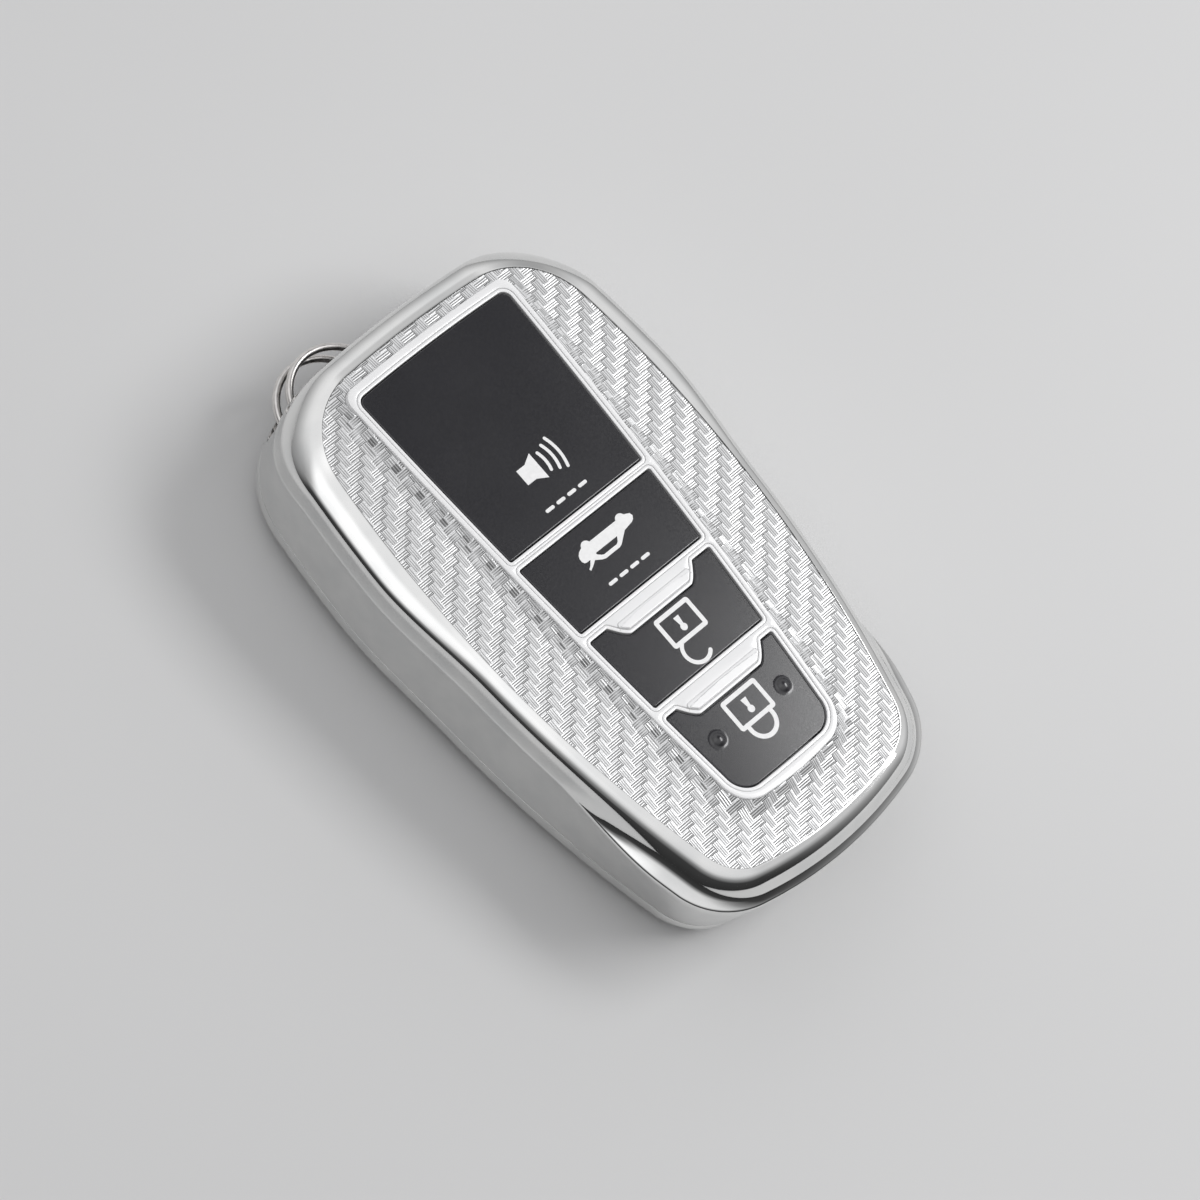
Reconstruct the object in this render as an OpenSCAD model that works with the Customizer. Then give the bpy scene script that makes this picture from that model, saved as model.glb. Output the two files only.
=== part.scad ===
// Two-shell cover for a car key fob, with a patterned front panel and four press buttons.
// X runs across the width, +Y points to the narrow lock end, +Z points out of the face.
// The origin is the middle of the rear face that the cover lies on.

/* [Front panel] */
// Length of the patterned front panel
panel_l = 71.9; // [70:0.1:80]
// Width between the panel's corner circles at the keyring end
key_w = 39.5; // [37:0.1:45]
// Width between the panel's corner circles at the lock end
lock_w = 31.5; // [29:0.1:36]
// Corner radius of the panel at the keyring end
key_r = 9.9; // [8:0.1:12]
// Corner radius of the panel at the lock end
lock_r = 6; // [5:0.1:8]
// Radius of the panel's long sides
side_r = 150; // [130:1:220]
// Radius of the panel's keyring end
key_end_r = 160; // [110:1:300]
// Radius of the panel's lock end
lock_end_r = 50; // [42:1:90]
// Thickness of the front panel
panel_t = 0.6; // [0.4:0.05:0.9]
// Height by which the panel rises towards the button frame
panel_rise = 0.4; // [0.2:0.05:0.6]
// Width of the band over which the panel rises
rise_band = 2.1; // [1.2:0.1:3]

/* [Body] */
// Height from the rear face to the top of the bright rim
body_h = 17.2; // [16:0.1:22]
// Wall thickness of both shells
wall = 1.5; // [1.2:0.05:1.8]
// Height of the parting line between the shells
part_h = 4.5; // [4.1:0.1:5.4]
// Radius of the rear edge
rear_r = 4; // [2.5:0.1:4.1]
// Thickness of the floor
floor_t = 1.4; // [1.2:0.05:2]
// Thickness of the web under the front panel
web_t = 0.8; // [0.6:0.05:1.2]
// Height of the locating lip above the parting line
lip_h = 1.8; // [1:0.1:3]
// Thickness of the locating lip
lip_t = 0.8; // [0.6:0.05:1.2]

/* [Rim] */
// Flat land between the panel and the rim's bevel
rim_land = 0.25; // [0.15:0.05:0.5]
// Width of the rim at the middle of the sides
rim_w = 1.95; // [1.6:0.05:3]
// Extra width of the rim along the keyring half
rim_key_extra = 1.25; // [0.4:0.05:2]
// Width of the rim at the keyring end
rim_key_end = 2.6; // [2:0.05:4]
// Width of the rim at the lock end
rim_lock_end = 2.1; // [1.6:0.05:3]
// Extra width of the rim at the keyring corners
rim_corner_extra = 0.6; // [0:0.05:1.2]
// Drop of the rim's bevel
rim_drop = 1.3; // [1:0.05:2]
// Extra drop of the bevel at the keyring corners
corner_drop = 1.9; // [0.5:0.05:2.4]
// Depth from the rim's edge down to the shoulder, at the middle of the sides
shoulder_drop = 3.1; // [2.2:0.05:4]
// How much higher the shoulder lies round the lock end
shoulder_lift = 1.1; // [0.4:0.05:1.4]
// Outward swell of the wall at the middle of the sides
side_swell = 0.25; // [0.1:0.05:0.6]
// Reach of the shoulder past the rim, on the sides near the lock end
shoulder_side = 2.3; // [1:0.05:2.6]
// Reach of the shoulder past the rim, at the lock end
shoulder_end = 1.45; // [0.8:0.05:2.4]

/* [Buttons] */
// Distance from the panel's keyring end to the first button
window_key_gap = 2.95; // [2.6:0.05:5]
// Distance from the panel's lock end to the last button
window_lock_gap = 7.65; // [6.5:0.05:9]
// Width of the patterned band beside the buttons at the keyring end
key_band = 7.85; // [6.5:0.05:9]
// Width of the patterned band beside the buttons at the lock end
lock_band = 8.2; // [7:0.05:9.2]
// Outward bow of the buttons' sides
window_bow = 0.72; // [0.3:0.02:1.2]
// Corner radius of the last button
window_r = 3; // [2:0.1:4]
// Length of the trunk button
trunk_l = 9.75; // [8:0.05:11]
// Length of the unlock button
unlock_l = 10.15; // [8:0.05:11]
// Length of the lock button
lock_l = 12.5; // [11:0.05:14]
// Width of the bar between the panic and trunk buttons
bar_1 = 1.2; // [1:0.05:1.6]
// Width of the bar between the trunk and unlock buttons
bar_2 = 1.25; // [1:0.05:1.6]
// Width of the bar between the unlock and lock buttons
bar_3 = 1.5; // [1:0.05:1.8]
// Gap round each button
button_gap = 0.15; // [0.1:0.01:0.25]
// Travel of each button
travel = 0.45; // [0.3:0.05:0.6]
// Diameter of the press nub under each button
nub_d = 4; // [3:0.1:5]
// Diameter of the two domes on the lock button
dome_d = 1.8; // [1:0.1:2.4]
// Height of the domes
dome_h = 0.4; // [0.2:0.05:0.6]
// Distance between the two domes
dome_gap = 10.8; // [8:0.1:12]

/* [Button frame] */
// Width of the frame round the buttons
frame_w = 1.35; // [1.1:0.05:1.8]
// Height of the frame above the panel's edge
frame_h = 0.95; // [0.7:0.05:1.3]
// How far the buttons lie below the frame
button_sink = 0.4; // [0.2:0.05:0.6]
// Distance from the first grip tab to the sides of the buttons
tab_gap_1 = 2.8; // [2:0.05:4]
// Distance from the second grip tab to the sides of the buttons
tab_gap_2 = 1.8; // [1.4:0.05:3]
// Length of a grip tab
tab_l = 2.1; // [1.2:0.05:2.6]
// Length over which a tab's sides curve
tab_run = 2.2; // [1.4:0.05:3]
// Height of the ridge on a tab
ridge_h = 0.2; // [0.1:0.05:0.4]
// Width of the ridge on a tab
ridge_w = 0.8; // [0.5:0.05:1]

/* [Split ring] */
// Outer diameter of the ring
ring_d = 14.1; // [13:0.1:15]
// Diameter of the wire
wire_d = 0.9; // [0.7:0.05:1]
// Rise of the wire in one turn
ring_pitch = 1.4; // [1.35:0.05:1.6]
// Sideways offset between the ring's two turns
ring_splay = 1.5; // [0:0.1:1.8]
// Distance of the ring's post from the body's centre line
post_x = 8.9; // [8:0.1:9.6]
// Diameter of the post
post_d = 2.4; // [2:0.1:3]
// Distance from the keyring end of the rim to the post
post_inset = 8.3; // [8:0.1:9]
// Height of the seat that the ring lies on
ring_seat = 6; // [5.6:0.1:6.6]
// Height of the slot's upper edge
slot_top = 11.5; // [11:0.1:12.5]
// Gap beside the ring in the slot
slot_gap = 1.7; // [1.4:0.1:2.4]

/* [Rear panel] */
// Distance from the front panel's outline in to the rear panel's outline
rear_inset = 3.2; // [2.8:0.1:4.2]
// Thickness of the rear panel
rear_t = 0.6; // [0.4:0.05:0.8]

/* [Hidden] */

// Running gap between pieces of different bodies
gap = 0.1;
// Gap between the locating lip and the front shell
lip_gap = 0.15;
// Gap between a panel and its recess
panel_gap = 0.08;
// Depth of the panel's face below the top of the rim
panel_sink = 0.1;
// Overrun of cuts
over = 1;
// Where the rim starts to widen towards the keyring end, and over what length
rim_from = 1;
rim_run = 17;
// Where the shoulder starts to stand out towards the lock end, and over what length
shoulder_from = 12;
shoulder_run = 16;
// Width of the lower wall at the rim's zero width, and its share of the rim's width
low_w = 1;
low_share = 0.7;
// Height of the rounded lower edge of the shoulder
shoulder_roll = 0.9;
// Share of the way from the rim's edge to the shoulder, down and out, at which the neck lies
neck_down_share = 0.55;
neck_out_share = 0.28;
// Inner rounding of the floor
floor_r = 1.6;
// Share of the rim's width that the top of the hollow follows
inner_top_share = 0.8;
// Shares of the way out and up from the parting line to the shoulder, at which the wall bends
belly_out_share = 0.55;
belly_up_share = 0.5;
// Share of the way in from the shoulder to the rim, and of the roll's height, at the shoulder's upper edge
shoulder_top_share = 0.65;
shoulder_up_share = 0.4;
// Share of the lock button's length at which the domes stand
dome_share = 0.44;
// Shares of the window's end bow at its two ends
key_bow_share = 0.5;
lock_bow_share = 0.8;
// Width of the flange that keeps a button in the frame
flange_w = 0.35;
// Thickness of the flange
flange_t = 0.55;
// Gap between the flange and the frame
flange_gap = 0.2;
// Gap between the window in the web and the button frame's outline
web_seat = 0.55;
// Thickness of the mat's sheet
mat_t = 0.5;
// Width of the mat outside the window
mat_w = 3;
// How far a nub stands below the mat
nub_reach = 0.4;
// Gap round a nub in the mat
nub_gap = 0.5;
// Wall round the foot of the post
boss_wall = 1.4;
// Clearance over the head of the post
post_head_gap = 0.5;
// Gap between the ring and what it lies on
ring_gap = 0.3;
// Gap between the ring and its post
ring_post_gap = 0.45;
// Turns of the ring
ring_turns = 2;
// Angle of the ring's first end
ring_start = 60;
// Steps of the coil in one turn and sides of its wire
ring_steps = 24;
ring_sides = 6;
// Bow of the ends of the buttons' window
window_end_bow = 0.35;
// Keyring corner radius of the window
window_key_r = 0.6;
// Steps of a bowed side, and of the layers by which the panel rises
bow_steps = 10;
rise_steps = 3;
// Steps of the arcs of half the outline: end, corner, side, corner, end
arc_steps = [4, 8, 12, 8, 5];

// Heights
panel_z = body_h - panel_sink;
web_z = panel_z - panel_t;
inner_z = web_z - web_t;
frame_z = body_h + frame_h;
button_z = frame_z - button_sink;
flange_z = web_z - flange_gap - flange_t;
mat_top = flange_z - travel - gap;
mat_z = mat_top - mat_t;
nub_z = mat_z - nub_reach;
post_top = mat_z - post_head_gap;

// Arcs of the panel's outline, from the keyring end round +X to the lock end
key_c = [key_w / 2 - key_r, key_end_r - panel_l / 2 - sqrt(pow(key_end_r - key_r, 2) - pow(key_w / 2 - key_r, 2))];
lock_c = [lock_w / 2 - lock_r,
          panel_l / 2 - lock_end_r + sqrt(pow(lock_end_r - lock_r, 2) - pow(lock_w / 2 - lock_r, 2))];
key_end_c = [0, key_end_r - panel_l / 2];
lock_end_c = [0, panel_l / 2 - lock_end_r];
side_c = tangent_centre(key_c, side_r - key_r, lock_c, side_r - lock_r);
turn_1 = bearing(key_end_c, key_c);
turn_2 = bearing(side_c, key_c);
turn_3 = bearing(side_c, lock_c);
turn_4 = bearing(lock_end_c, lock_c);

// Each row is [centre, radius, first angle, last angle, steps]
arcs = [[key_end_c, key_end_r, -90, turn_1, arc_steps[0]],
        [key_c, key_r, turn_1, turn_2, arc_steps[1]],
        [side_c, side_r, turn_2, turn_3, arc_steps[2]],
        [lock_c, lock_r, turn_3, turn_4, arc_steps[3]],
        [lock_end_c, lock_end_r, turn_4, 90, arc_steps[4]]];

// Half the outline as [x, y, normal x, normal y], then the whole of it
half_line = [for (a = arcs) for (i = [0:a[4] - 1])
             let (t = a[2] + (a[3] - a[2]) * i / a[4])
             [a[0][0] + a[1] * cos(t), a[0][1] + a[1] * sin(t), cos(t), sin(t)]];
end_point = [0, panel_l / 2, 0, 1];
mirrored = [for (i = [len(half_line) - 1:-1:1])
            let (s = half_line[i]) [-s[0], s[1], -s[2], s[3]]];
line = concat(half_line, [end_point], mirrored);

// Buttons' window
window_key_w = key_w - 2 * key_band;
window_lock_w = lock_w - 2 * lock_band;
window_start = window_key_gap - panel_l / 2;
window_end = panel_l / 2 - window_lock_gap;
lock_span = [window_end - lock_l, window_end];
unlock_span = [lock_span[0] - bar_3 - unlock_l, lock_span[0] - bar_3];
trunk_span = [unlock_span[0] - bar_2 - trunk_l, unlock_span[0] - bar_2];
panic_span = [window_start, trunk_span[0] - bar_1];
spans = [panic_span, trunk_span, unlock_span, lock_span];
dome_y = mix(lock_span[0], lock_span[1], dome_share);

// Ring and post
post_y = post_inset - panel_l / 2 - rim_key_end;
ring_line_r = (ring_d - wire_d) / 2;
ring_c = [post_x, post_y - ring_line_r + wire_d / 2 + post_d / 2 + ring_post_gap];
ring_z = ring_seat + ring_gap + wire_d / 2;
slot_half = ring_d / 2 + slot_gap;

function smooth(t) = let (u = min(max(t, 0), 1)) u * u * (3 - 2 * u);
function bearing(a, b) = atan2(b[1] - a[1], b[0] - a[0]);
function tangent_centre(a, ra, b, rb) =
    let (d = b - a, l = norm(d), s = (ra * ra - rb * rb + l * l) / (2 * l), h = sqrt(ra * ra - s * s), u = d / l)
    a + u * s + h * [-u[1], u[0]];

// Widths and drops of the rim and the wall at an outline sample
function to_key(s) = s[3] < 0 ? s[3] * s[3] : 0;
function to_lock(s) = s[3] > 0 ? s[3] * s[3] : 0;
function at_key_corner(s) = s[3] < 0 ? 4 * s[2] * s[2] * s[3] * s[3] : 0;
function rim_out(s) = s[2] * s[2] * (rim_w + rim_key_extra * smooth((rim_from - s[1]) / rim_run))
                      + to_key(s) * rim_key_end + to_lock(s) * rim_lock_end
                      + at_key_corner(s) * rim_corner_extra;
function rim_down(s) = rim_drop + at_key_corner(s) * corner_drop;
function shoulder_share(s) = s[2] * s[2] * smooth((s[1] - shoulder_from) / shoulder_run) + to_lock(s);
function shoulder_out(s) = rim_out(s) + side_swell + to_lock(s) * shoulder_end
                           + s[2] * s[2] * shoulder_side * smooth((s[1] - shoulder_from) / shoulder_run);
function shoulder_down(s) = rim_down(s) + shoulder_drop - shoulder_lift * shoulder_share(s);
function low_out(s) = low_w + low_share * rim_out(s);
function mix(a, b, t) = a + (b - a) * t;

// Outline moved outwards by a constant width
function outline(d) = [for (s = line) [s[0] + d * s[2], s[1] + d * s[3]]];

// A ring of the loft: each sample has its own width and height
function ring(widths, heights) = [for (i = [0:len(line) - 1])
    [line[i][0] + widths[i] * line[i][2], line[i][1] + widths[i] * line[i][3], heights[i]]];
function level(z) = [for (s = line) z];

// The rings of the body's outer form, moved inwards by d, from the rear face to the rim
function wall_rings(d) = [
    ring([for (s = line) low_out(s) - d], level(part_h)),
    ring([for (s = line) mix(low_out(s), shoulder_out(s), belly_out_share) - d],
         [for (s = line) mix(part_h, body_h - shoulder_down(s), belly_up_share)]),
    ring([for (s = line) shoulder_out(s) - d - side_swell / 2],
         [for (s = line) body_h - shoulder_down(s) - shoulder_roll]),
    ring([for (s = line) shoulder_out(s) - d], [for (s = line) body_h - shoulder_down(s)])];
function rear_rings(d) = [for (a = [0, 30, 60, 90])
    ring([for (s = line) low_out(s) - d - rear_r * (1 - sin(a))], level(rear_r * (1 - cos(a))))];
function rim_rings(d) = [
    ring([for (s = line) mix(rim_out(s), shoulder_out(s), shoulder_top_share) - d],
         [for (s = line) body_h - shoulder_down(s) + shoulder_roll * shoulder_up_share]),
    ring([for (s = line) mix(rim_out(s), shoulder_out(s), neck_out_share) - d],
         [for (s = line) body_h - mix(rim_down(s), shoulder_down(s), neck_down_share)]),
    ring([for (s = line) rim_out(s) - d], [for (s = line) body_h - rim_down(s)])];

module loft(rings) {
    n = len(rings[0]);
    last = len(rings) - 1;
    sides = [for (k = [0:last - 1]) for (i = [0:n - 1])
             let (j = (i + 1) % n, a = k * n + i, b = k * n + j)
             each [[a, a + n, b + n], [a, b + n, b]]];
    caps = [[for (i = [0:n - 1]) i], [for (i = [n - 1:-1:0]) last * n + i]];
    polyhedron(points = [for (r = rings) each r], faces = concat(sides, caps));
}

module body_form() {
    loft(concat(rear_rings(0), wall_rings(0), rim_rings(0), [ring([for (s = line) rim_land], level(body_h))]));
}

// The first rings of a hollow whose walls lie d inside the outer form
function floor_rings(d) = [ring([for (s = line) low_out(s) - d - floor_r], level(floor_t)),
                           ring([for (s = line) low_out(s) - d], level(floor_t + floor_r))];

// The hollow under the front shell
module hollow(d) {
    top = ring([for (s = line) mix(rim_land, rim_out(s), inner_top_share) - d], level(inner_z));
    loft(concat(floor_rings(d), wall_rings(d), [rim_rings(d)[1], top]));
}

// The hollow of the rear shell, with upright walls from the floor's rounding to the top of the lip
module tray_hollow(d) {
    loft(concat(floor_rings(d), [ring([for (s = line) low_out(s) - d], level(part_h + lip_h + over))]));
}

module slab(low, high) {
    translate([-panel_l, -panel_l, low])
        cube([2 * panel_l, 2 * panel_l, high - low]);
}

module plate(points, low, high) {
    translate([0, 0, low])
        linear_extrude(high - low)
            polygon(points);
}

// The space where the ring passes through the end wall, widened by d on each side
module slot_space(d, low, high) {
    translate([post_x - slot_half - d, -panel_l, low])
        cube([2 * (slot_half + d), panel_l + ring_c[1] + 2 * wall, high - low]);
}

// Outline of the buttons' window, moved outwards by d
function window(d) =
    let (r = window_r + d, kr = window_key_r + d,
         cx = window_lock_w / 2 - window_r, cy = window_end - window_end_bow - window_r,
         kx = window_key_w / 2 - window_key_r, ky = window_start + window_key_r,
         a = [kx + kr, ky], b = [cx + r * cos(5), cy + r * sin(5)],
         end_arc = [for (t = [5:10:85]) [cx + r * cos(t), cy + r * sin(t)]],
         key_arc = [for (t = [-80:20:0]) [kx + kr * cos(t), ky + kr * sin(t)]],
         side = [for (i = [1:bow_steps - 1]) let (u = i / bow_steps)
                 [mix(a[0], b[0], u) + 4 * window_bow * u * (1 - u), mix(a[1], b[1], u)]],
         half = concat([[kx / 2, ky - kr - window_end_bow * key_bow_share]], key_arc, side, end_arc,
                       [[cx / 2, cy + r + window_end_bow * lock_bow_share]]))
    concat(half, [for (i = [len(half) - 1:-1:0]) [-half[i][0], half[i][1]]]);

// Half the width of the window beside a point on its centre line
function window_half(y) =
    let (first = window_start + window_key_r, last = window_end - window_end_bow - window_r,
         u = (y - first) / (last - first))
    mix(window_key_w, window_lock_w, u) / 2 + 4 * window_bow * u * (1 - u);

// Grip tabs as [y of the root, half the width of the root]
tab_1 = [unlock_span[0], window_half(unlock_span[0]) - tab_gap_1];
tab_2 = [lock_span[0], window_half(lock_span[0]) - tab_gap_2];

// Outline of a grip tab, moved outwards by d
function tab_outline(tab, d) =
    let (y = tab[0], h = tab[1] + d, steps = 2 * bow_steps,
         curve = [for (i = [0:steps]) let (x = h - tab_run * i / steps)
                  [x, y + (tab_l + d) * smooth(i / steps)]])
    concat([[h, y - over / 2]], curve, [for (i = [steps:-1:0]) [-curve[i][0], curve[i][1]]],
           [[-h, y - over / 2]]);

// The space of one button, moved outwards by d
module button_space(span, d, low, high) {
    intersection() {
        plate(window(d), low, high);
        translate([-panel_l, span[0] - d, low - over])
            cube([2 * panel_l, span[1] - span[0] + 2 * d, high - low + 2 * over]);
    }
}

// A button in its span; tab is the grip tab that it gives room to, if any
module button(span, tab) {
    middle = (span[0] + span[1]) / 2;
    difference() {
        union() {
            button_space(span, -button_gap, flange_z, button_z);
            button_space(span, flange_w - button_gap, flange_z, flange_z + flange_t);
        }
        if (tab)
            plate(tab_outline(tab, button_gap), flange_z + flange_t, button_z + over);
    }
    translate([0, middle, nub_z])
        cylinder(d = nub_d, h = flange_z - nub_z + flange_t / 2, $fn = 32);
}

module rear_shell() {
    color("gainsboro")
    difference() {
        union() {
            difference() {
                intersection() {
                    body_form();
                    slab(0, part_h);
                }
                tray_hollow(wall + lip_gap + lip_t);
            }
            difference() {
                intersection() {
                    tray_hollow(wall + lip_gap);
                    slab(part_h - over, part_h + lip_h);
                }
                tray_hollow(wall + lip_gap + lip_t);
                slot_space(slot_gap, part_h - over, part_h + 2 * lip_h);
            }
            difference() {
                intersection() {
                    body_form();
                    slab(part_h - over, ring_seat);
                    slot_space(-gap, part_h - over, ring_seat);
                }
                tray_hollow(wall);
            }
            translate([post_x, post_y, floor_t / 2])
                cylinder(d = post_d + 2 * boss_wall, h = ring_seat - floor_t / 2, $fn = 32);
        }
        plate(outline(-rear_inset), -over, rear_t);
        translate([post_x, post_y, floor_t])
            cylinder(d = post_d, h = ring_seat, $fn = 32);
    }
}

module rear_panel() {
    color("silver")
    plate(outline(-rear_inset - panel_gap), 0, rear_t);
}

module ring_post() {
    color("lightgray")
    translate([post_x, post_y, floor_t])
        cylinder(d = post_d, h = post_top - floor_t, $fn = 32);
}

// Centre line of the split ring: two full turns that climb evenly and stand a little apart sideways
coil_count = ring_turns * ring_steps;
coil = [for (i = [0:coil_count])
        let (t = ring_start + 360 * i / ring_steps, turn = i / ring_steps)
        [ring_c[0] + ring_line_r * cos(t) + ring_splay * (ring_turns / 2 - turn),
         ring_c[1] + ring_line_r * sin(t), ring_z + ring_pitch * turn]];

// Least gap between stretches of the wire that are half a turn or more apart
coil_gap = min([for (i = [0:coil_count]) for (j = [i + ring_steps / 2:1:coil_count]) norm(coil[j] - coil[i])]) - wire_d;
echo(str("Least gap of the split ring's wire to itself: ", coil_gap, " mm"));

module split_ring() {
    n = ring_sides;
    points = [for (i = [0:coil_count])
              let (t = ring_start + 360 * i / ring_steps)
              for (k = [0:n - 1])
              let (a = 360 * k / n, r = wire_d / 2 * cos(a), h = wire_d / 2 * sin(a))
              [coil[i][0] + r * cos(t), coil[i][1] + r * sin(t), coil[i][2] + h]];
    sides = [for (i = [0:coil_count - 1]) for (k = [0:n - 1])
             let (a = i * n + k, b = i * n + (k + 1) % n)
             each [[a, b, b + n], [a, b + n, a + n]]];
    caps = [for (k = [1:n - 2]) each [[0, k + 1, k], [coil_count * n, coil_count * n + k, coil_count * n + k + 1]]];
    color("silver")
    polyhedron(points = points, faces = concat(sides, caps));
}

module front_shell() {
    color("gainsboro")
    difference() {
        intersection() {
            body_form();
            slab(part_h, body_h + over);
        }
        hollow(wall);
        plate(outline(0), web_z, body_h + over);
        plate(window(frame_w - web_seat), inner_z - over, web_z + over);
        slot_space(0, part_h - over, slot_top);
    }
}

module front_panel() {
    color("silver")
    difference() {
        intersection() {
            plate(outline(-panel_gap), web_z, frame_z);
            union() {
                slab(web_z, panel_z);
                for (i = [1:rise_steps])
                    plate(window(frame_w + rise_band * (1 - (i - 1) / rise_steps)), web_z,
                          panel_z + panel_rise * i / rise_steps);
            }
        }
        plate(window(frame_w + panel_gap), web_z - over, frame_z);
    }
}

module button_frame() {
    color("white")
    difference() {
        union() {
            plate(window(frame_w), web_z, frame_z);
            for (tab = [tab_1, tab_2])
                tab_ridge(tab);
        }
        for (pair = [[panic_span], [trunk_span], [unlock_span, tab_1], [lock_span, tab_2]])
            difference() {
                button_space(pair[0], 0, web_z - over, frame_z + over);
                if (pair[1])
                    plate(tab_outline(pair[1], 0), web_z - 2 * over, frame_z + 2 * over);
            }
    }
}

// The raised bar on a grip tab
module tab_ridge(tab) {
    half = tab[1] - tab_run + ridge_w / 2;
    translate([0, tab[0] + tab_l / 2 - ridge_w / 2, frame_z])
        linear_extrude(ridge_h)
            union() {
                translate([-half, -ridge_w / 2])
                    square([2 * half, ridge_w]);
                for (side = [-1, 1])
                    translate([side * half, 0])
                        circle(d = ridge_w, $fn = 24);
            }
}

module button_mat() {
    color("dimgray")
    difference() {
        plate(window(mat_w), mat_z, inner_z);
        plate(window(frame_w), mat_top, inner_z + over);
        for (span = spans)
            translate([0, (span[0] + span[1]) / 2, mat_z - over])
                cylinder(d = nub_d + 2 * nub_gap, h = mat_t + 2 * over, $fn = 32);
    }
}

module panic_button() {
    color("#3a393d")
    button(panic_span);
}

module trunk_button() {
    color("#3a393d")
    button(trunk_span);
}

module unlock_button() {
    color("#3a393d")
    button(unlock_span, tab_1);
}

module lock_button() {
    dome_r = (dome_d * dome_d / 4 + dome_h * dome_h) / (2 * dome_h);
    color("#3a393d") {
        button(lock_span, tab_2);
        for (side = [-1, 1])
            translate([side * dome_gap / 2, dome_y, button_z + dome_h - dome_r])
                sphere(r = dome_r, $fn = 32);
    }
}

rear_shell();
rear_panel();
ring_post();
split_ring();
front_shell();
front_panel();
button_frame();
button_mat();
panic_button();
trunk_button();
unlock_button();
lock_button();
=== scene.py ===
"""The looks of a key fob cover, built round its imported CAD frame.

Lengths in this file are millimetres in the part's own frame, and make_mesh turns them into metres.
X runs across the width, +Y points to the narrow lock end, and +Z points out of the face.
"""

import math

import bpy
import numpy as np
from mathutils import Matrix, Vector
from mathutils.geometry import delaunay_2d_cdt

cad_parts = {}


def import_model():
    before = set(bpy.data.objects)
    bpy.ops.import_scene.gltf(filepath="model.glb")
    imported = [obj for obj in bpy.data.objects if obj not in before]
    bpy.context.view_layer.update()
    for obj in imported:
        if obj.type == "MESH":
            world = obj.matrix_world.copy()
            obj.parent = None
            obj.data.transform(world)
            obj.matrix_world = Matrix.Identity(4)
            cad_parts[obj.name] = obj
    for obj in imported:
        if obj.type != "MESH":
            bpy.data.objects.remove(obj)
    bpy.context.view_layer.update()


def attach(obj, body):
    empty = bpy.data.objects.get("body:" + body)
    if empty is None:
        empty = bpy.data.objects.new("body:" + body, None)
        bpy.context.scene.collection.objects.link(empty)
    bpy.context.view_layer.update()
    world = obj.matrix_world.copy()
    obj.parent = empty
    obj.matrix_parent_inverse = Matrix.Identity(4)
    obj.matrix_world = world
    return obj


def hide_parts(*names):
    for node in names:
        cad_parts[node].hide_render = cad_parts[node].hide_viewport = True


MM = 0.001

# Front panel's outline
PANEL_L = 71.9
KEY_W = 39.5
LOCK_W = 31.5
KEY_R = 9.9
LOCK_R = 6.0
SIDE_R = 150.0
KEY_END_R = 160.0
LOCK_END_R = 50.0
ARC_STEPS = [16, 32, 60, 32, 20]

# Body
BODY_H = 17.2
WALL = 1.5
PART_H = 4.5
REAR_R = 4.0
FLOOR_T = 1.4
WEB_T = 0.8
LIP_H = 1.8
LIP_T = 0.8
LIP_GAP = 0.15
LIP_R, FLOOR_R = 0.25, 1.6
FLOOR_IN = FLOOR_R + 0.4
WALL_START = REAR_R + 0.05
RECESS_R, REAR_FACE_R = 0.06, 0.3
SEAM = 0.14

# Rim and shoulder
RIM_LAND = 0.06
RIM_W = 1.95
RIM_KEY_EXTRA = 1.25
RIM_KEY_END = 2.6
RIM_LOCK_END = 2.1
RIM_CORNER_EXTRA = 0.6
RIM_DROP = 1.3
CORNER_DROP = 1.9
SHOULDER_DROP = 3.1
SHOULDER_LIFT = 1.1
SIDE_SWELL = 0.22
SHOULDER_SIDE = 2.3
SHOULDER_END = 1.45
SHOULDER_ROLL = 0.9
RIM_FROM, RIM_RUN = 1.0, 17.0
SHOULDER_FROM, SHOULDER_RUN = 12.0, 16.0
LOW_W, LOW_SHARE = 1.0, 0.7
NECK_DOWN_SHARE, NECK_OUT_SHARE = 0.55, 0.28
INNER_TOP_SHARE = 0.8
CROWN_AT, CROWN_DOWN = 0.55, 0.33
BELLY_OUT_SHARE, BELLY_UP_SHARE = 0.55, 0.5
SHOULDER_TOP_SHARE, SHOULDER_UP_SHARE = 0.65, 0.4

# Roundings of the front shell's wall from the belly up, of the rim's crown and of its inner edge
WALL_ROUNDINGS = [3.0, 1.4, 0.8, 0.7, 1.3, 1.1]
CROWN_R, LAND_R = 1.2, 0.22

# The largest share of a side that a rounding takes, and the gap that gets rings in between
ROUND_SHARE, WIDE_GAP = 0.48, 0.3

# Panels. The front one crowns over a run from its edge and rises over a band to the frame, by a smaller
# share at the keyring end. The lower part of its thickness stays down.
PANEL_T = 0.6
LIFTED_SHARE = 0.7
PANEL_SINK = 0.1
PANEL_GAP = 0.04
PANEL_RISE = 0.72
KEY_END_RISE = 0.35
KEY_END_FROM, KEY_END_RUN = 1.5, 2.5
RISE_BAND = 2.0
PANEL_CROWN = 0.15
CROWN_RUN = 6.0
REAR_INSET = 3.2
REAR_T = 0.6

# Twill: its cell, the seam between floats, the plain border, the hatching inside, and the slot beside the end
# of each neighbour that dives under a float, which the tones paint dark as a painted shadow
CELL = 0.985
SEAM_W = 0.02
SEAM_H = 0.012
TWILL_H = 0.07
BORDER = 0.085
SLOT_IN = 0.025
SLOT_W = 0.07
SLOT_H = 0.06
SLOT_EDGE = 0.02
GROOVE = 0.03
HATCHES, REAR_HATCHES = 3, 2
TWILL_PHASE = (0.30, 0.10)
# The tones: faintly darker seams, full borders, a painted shadow in the slots, and painted shade in the hatch
# grooves, deepest on floats along X as a painted reflection
TONES = {"seam": 0.97, "slot": 0.1, "border": 1.0, "along_x": 0.08, "along_y": 0.32}
FLOAT_REACH = 1.6

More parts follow.
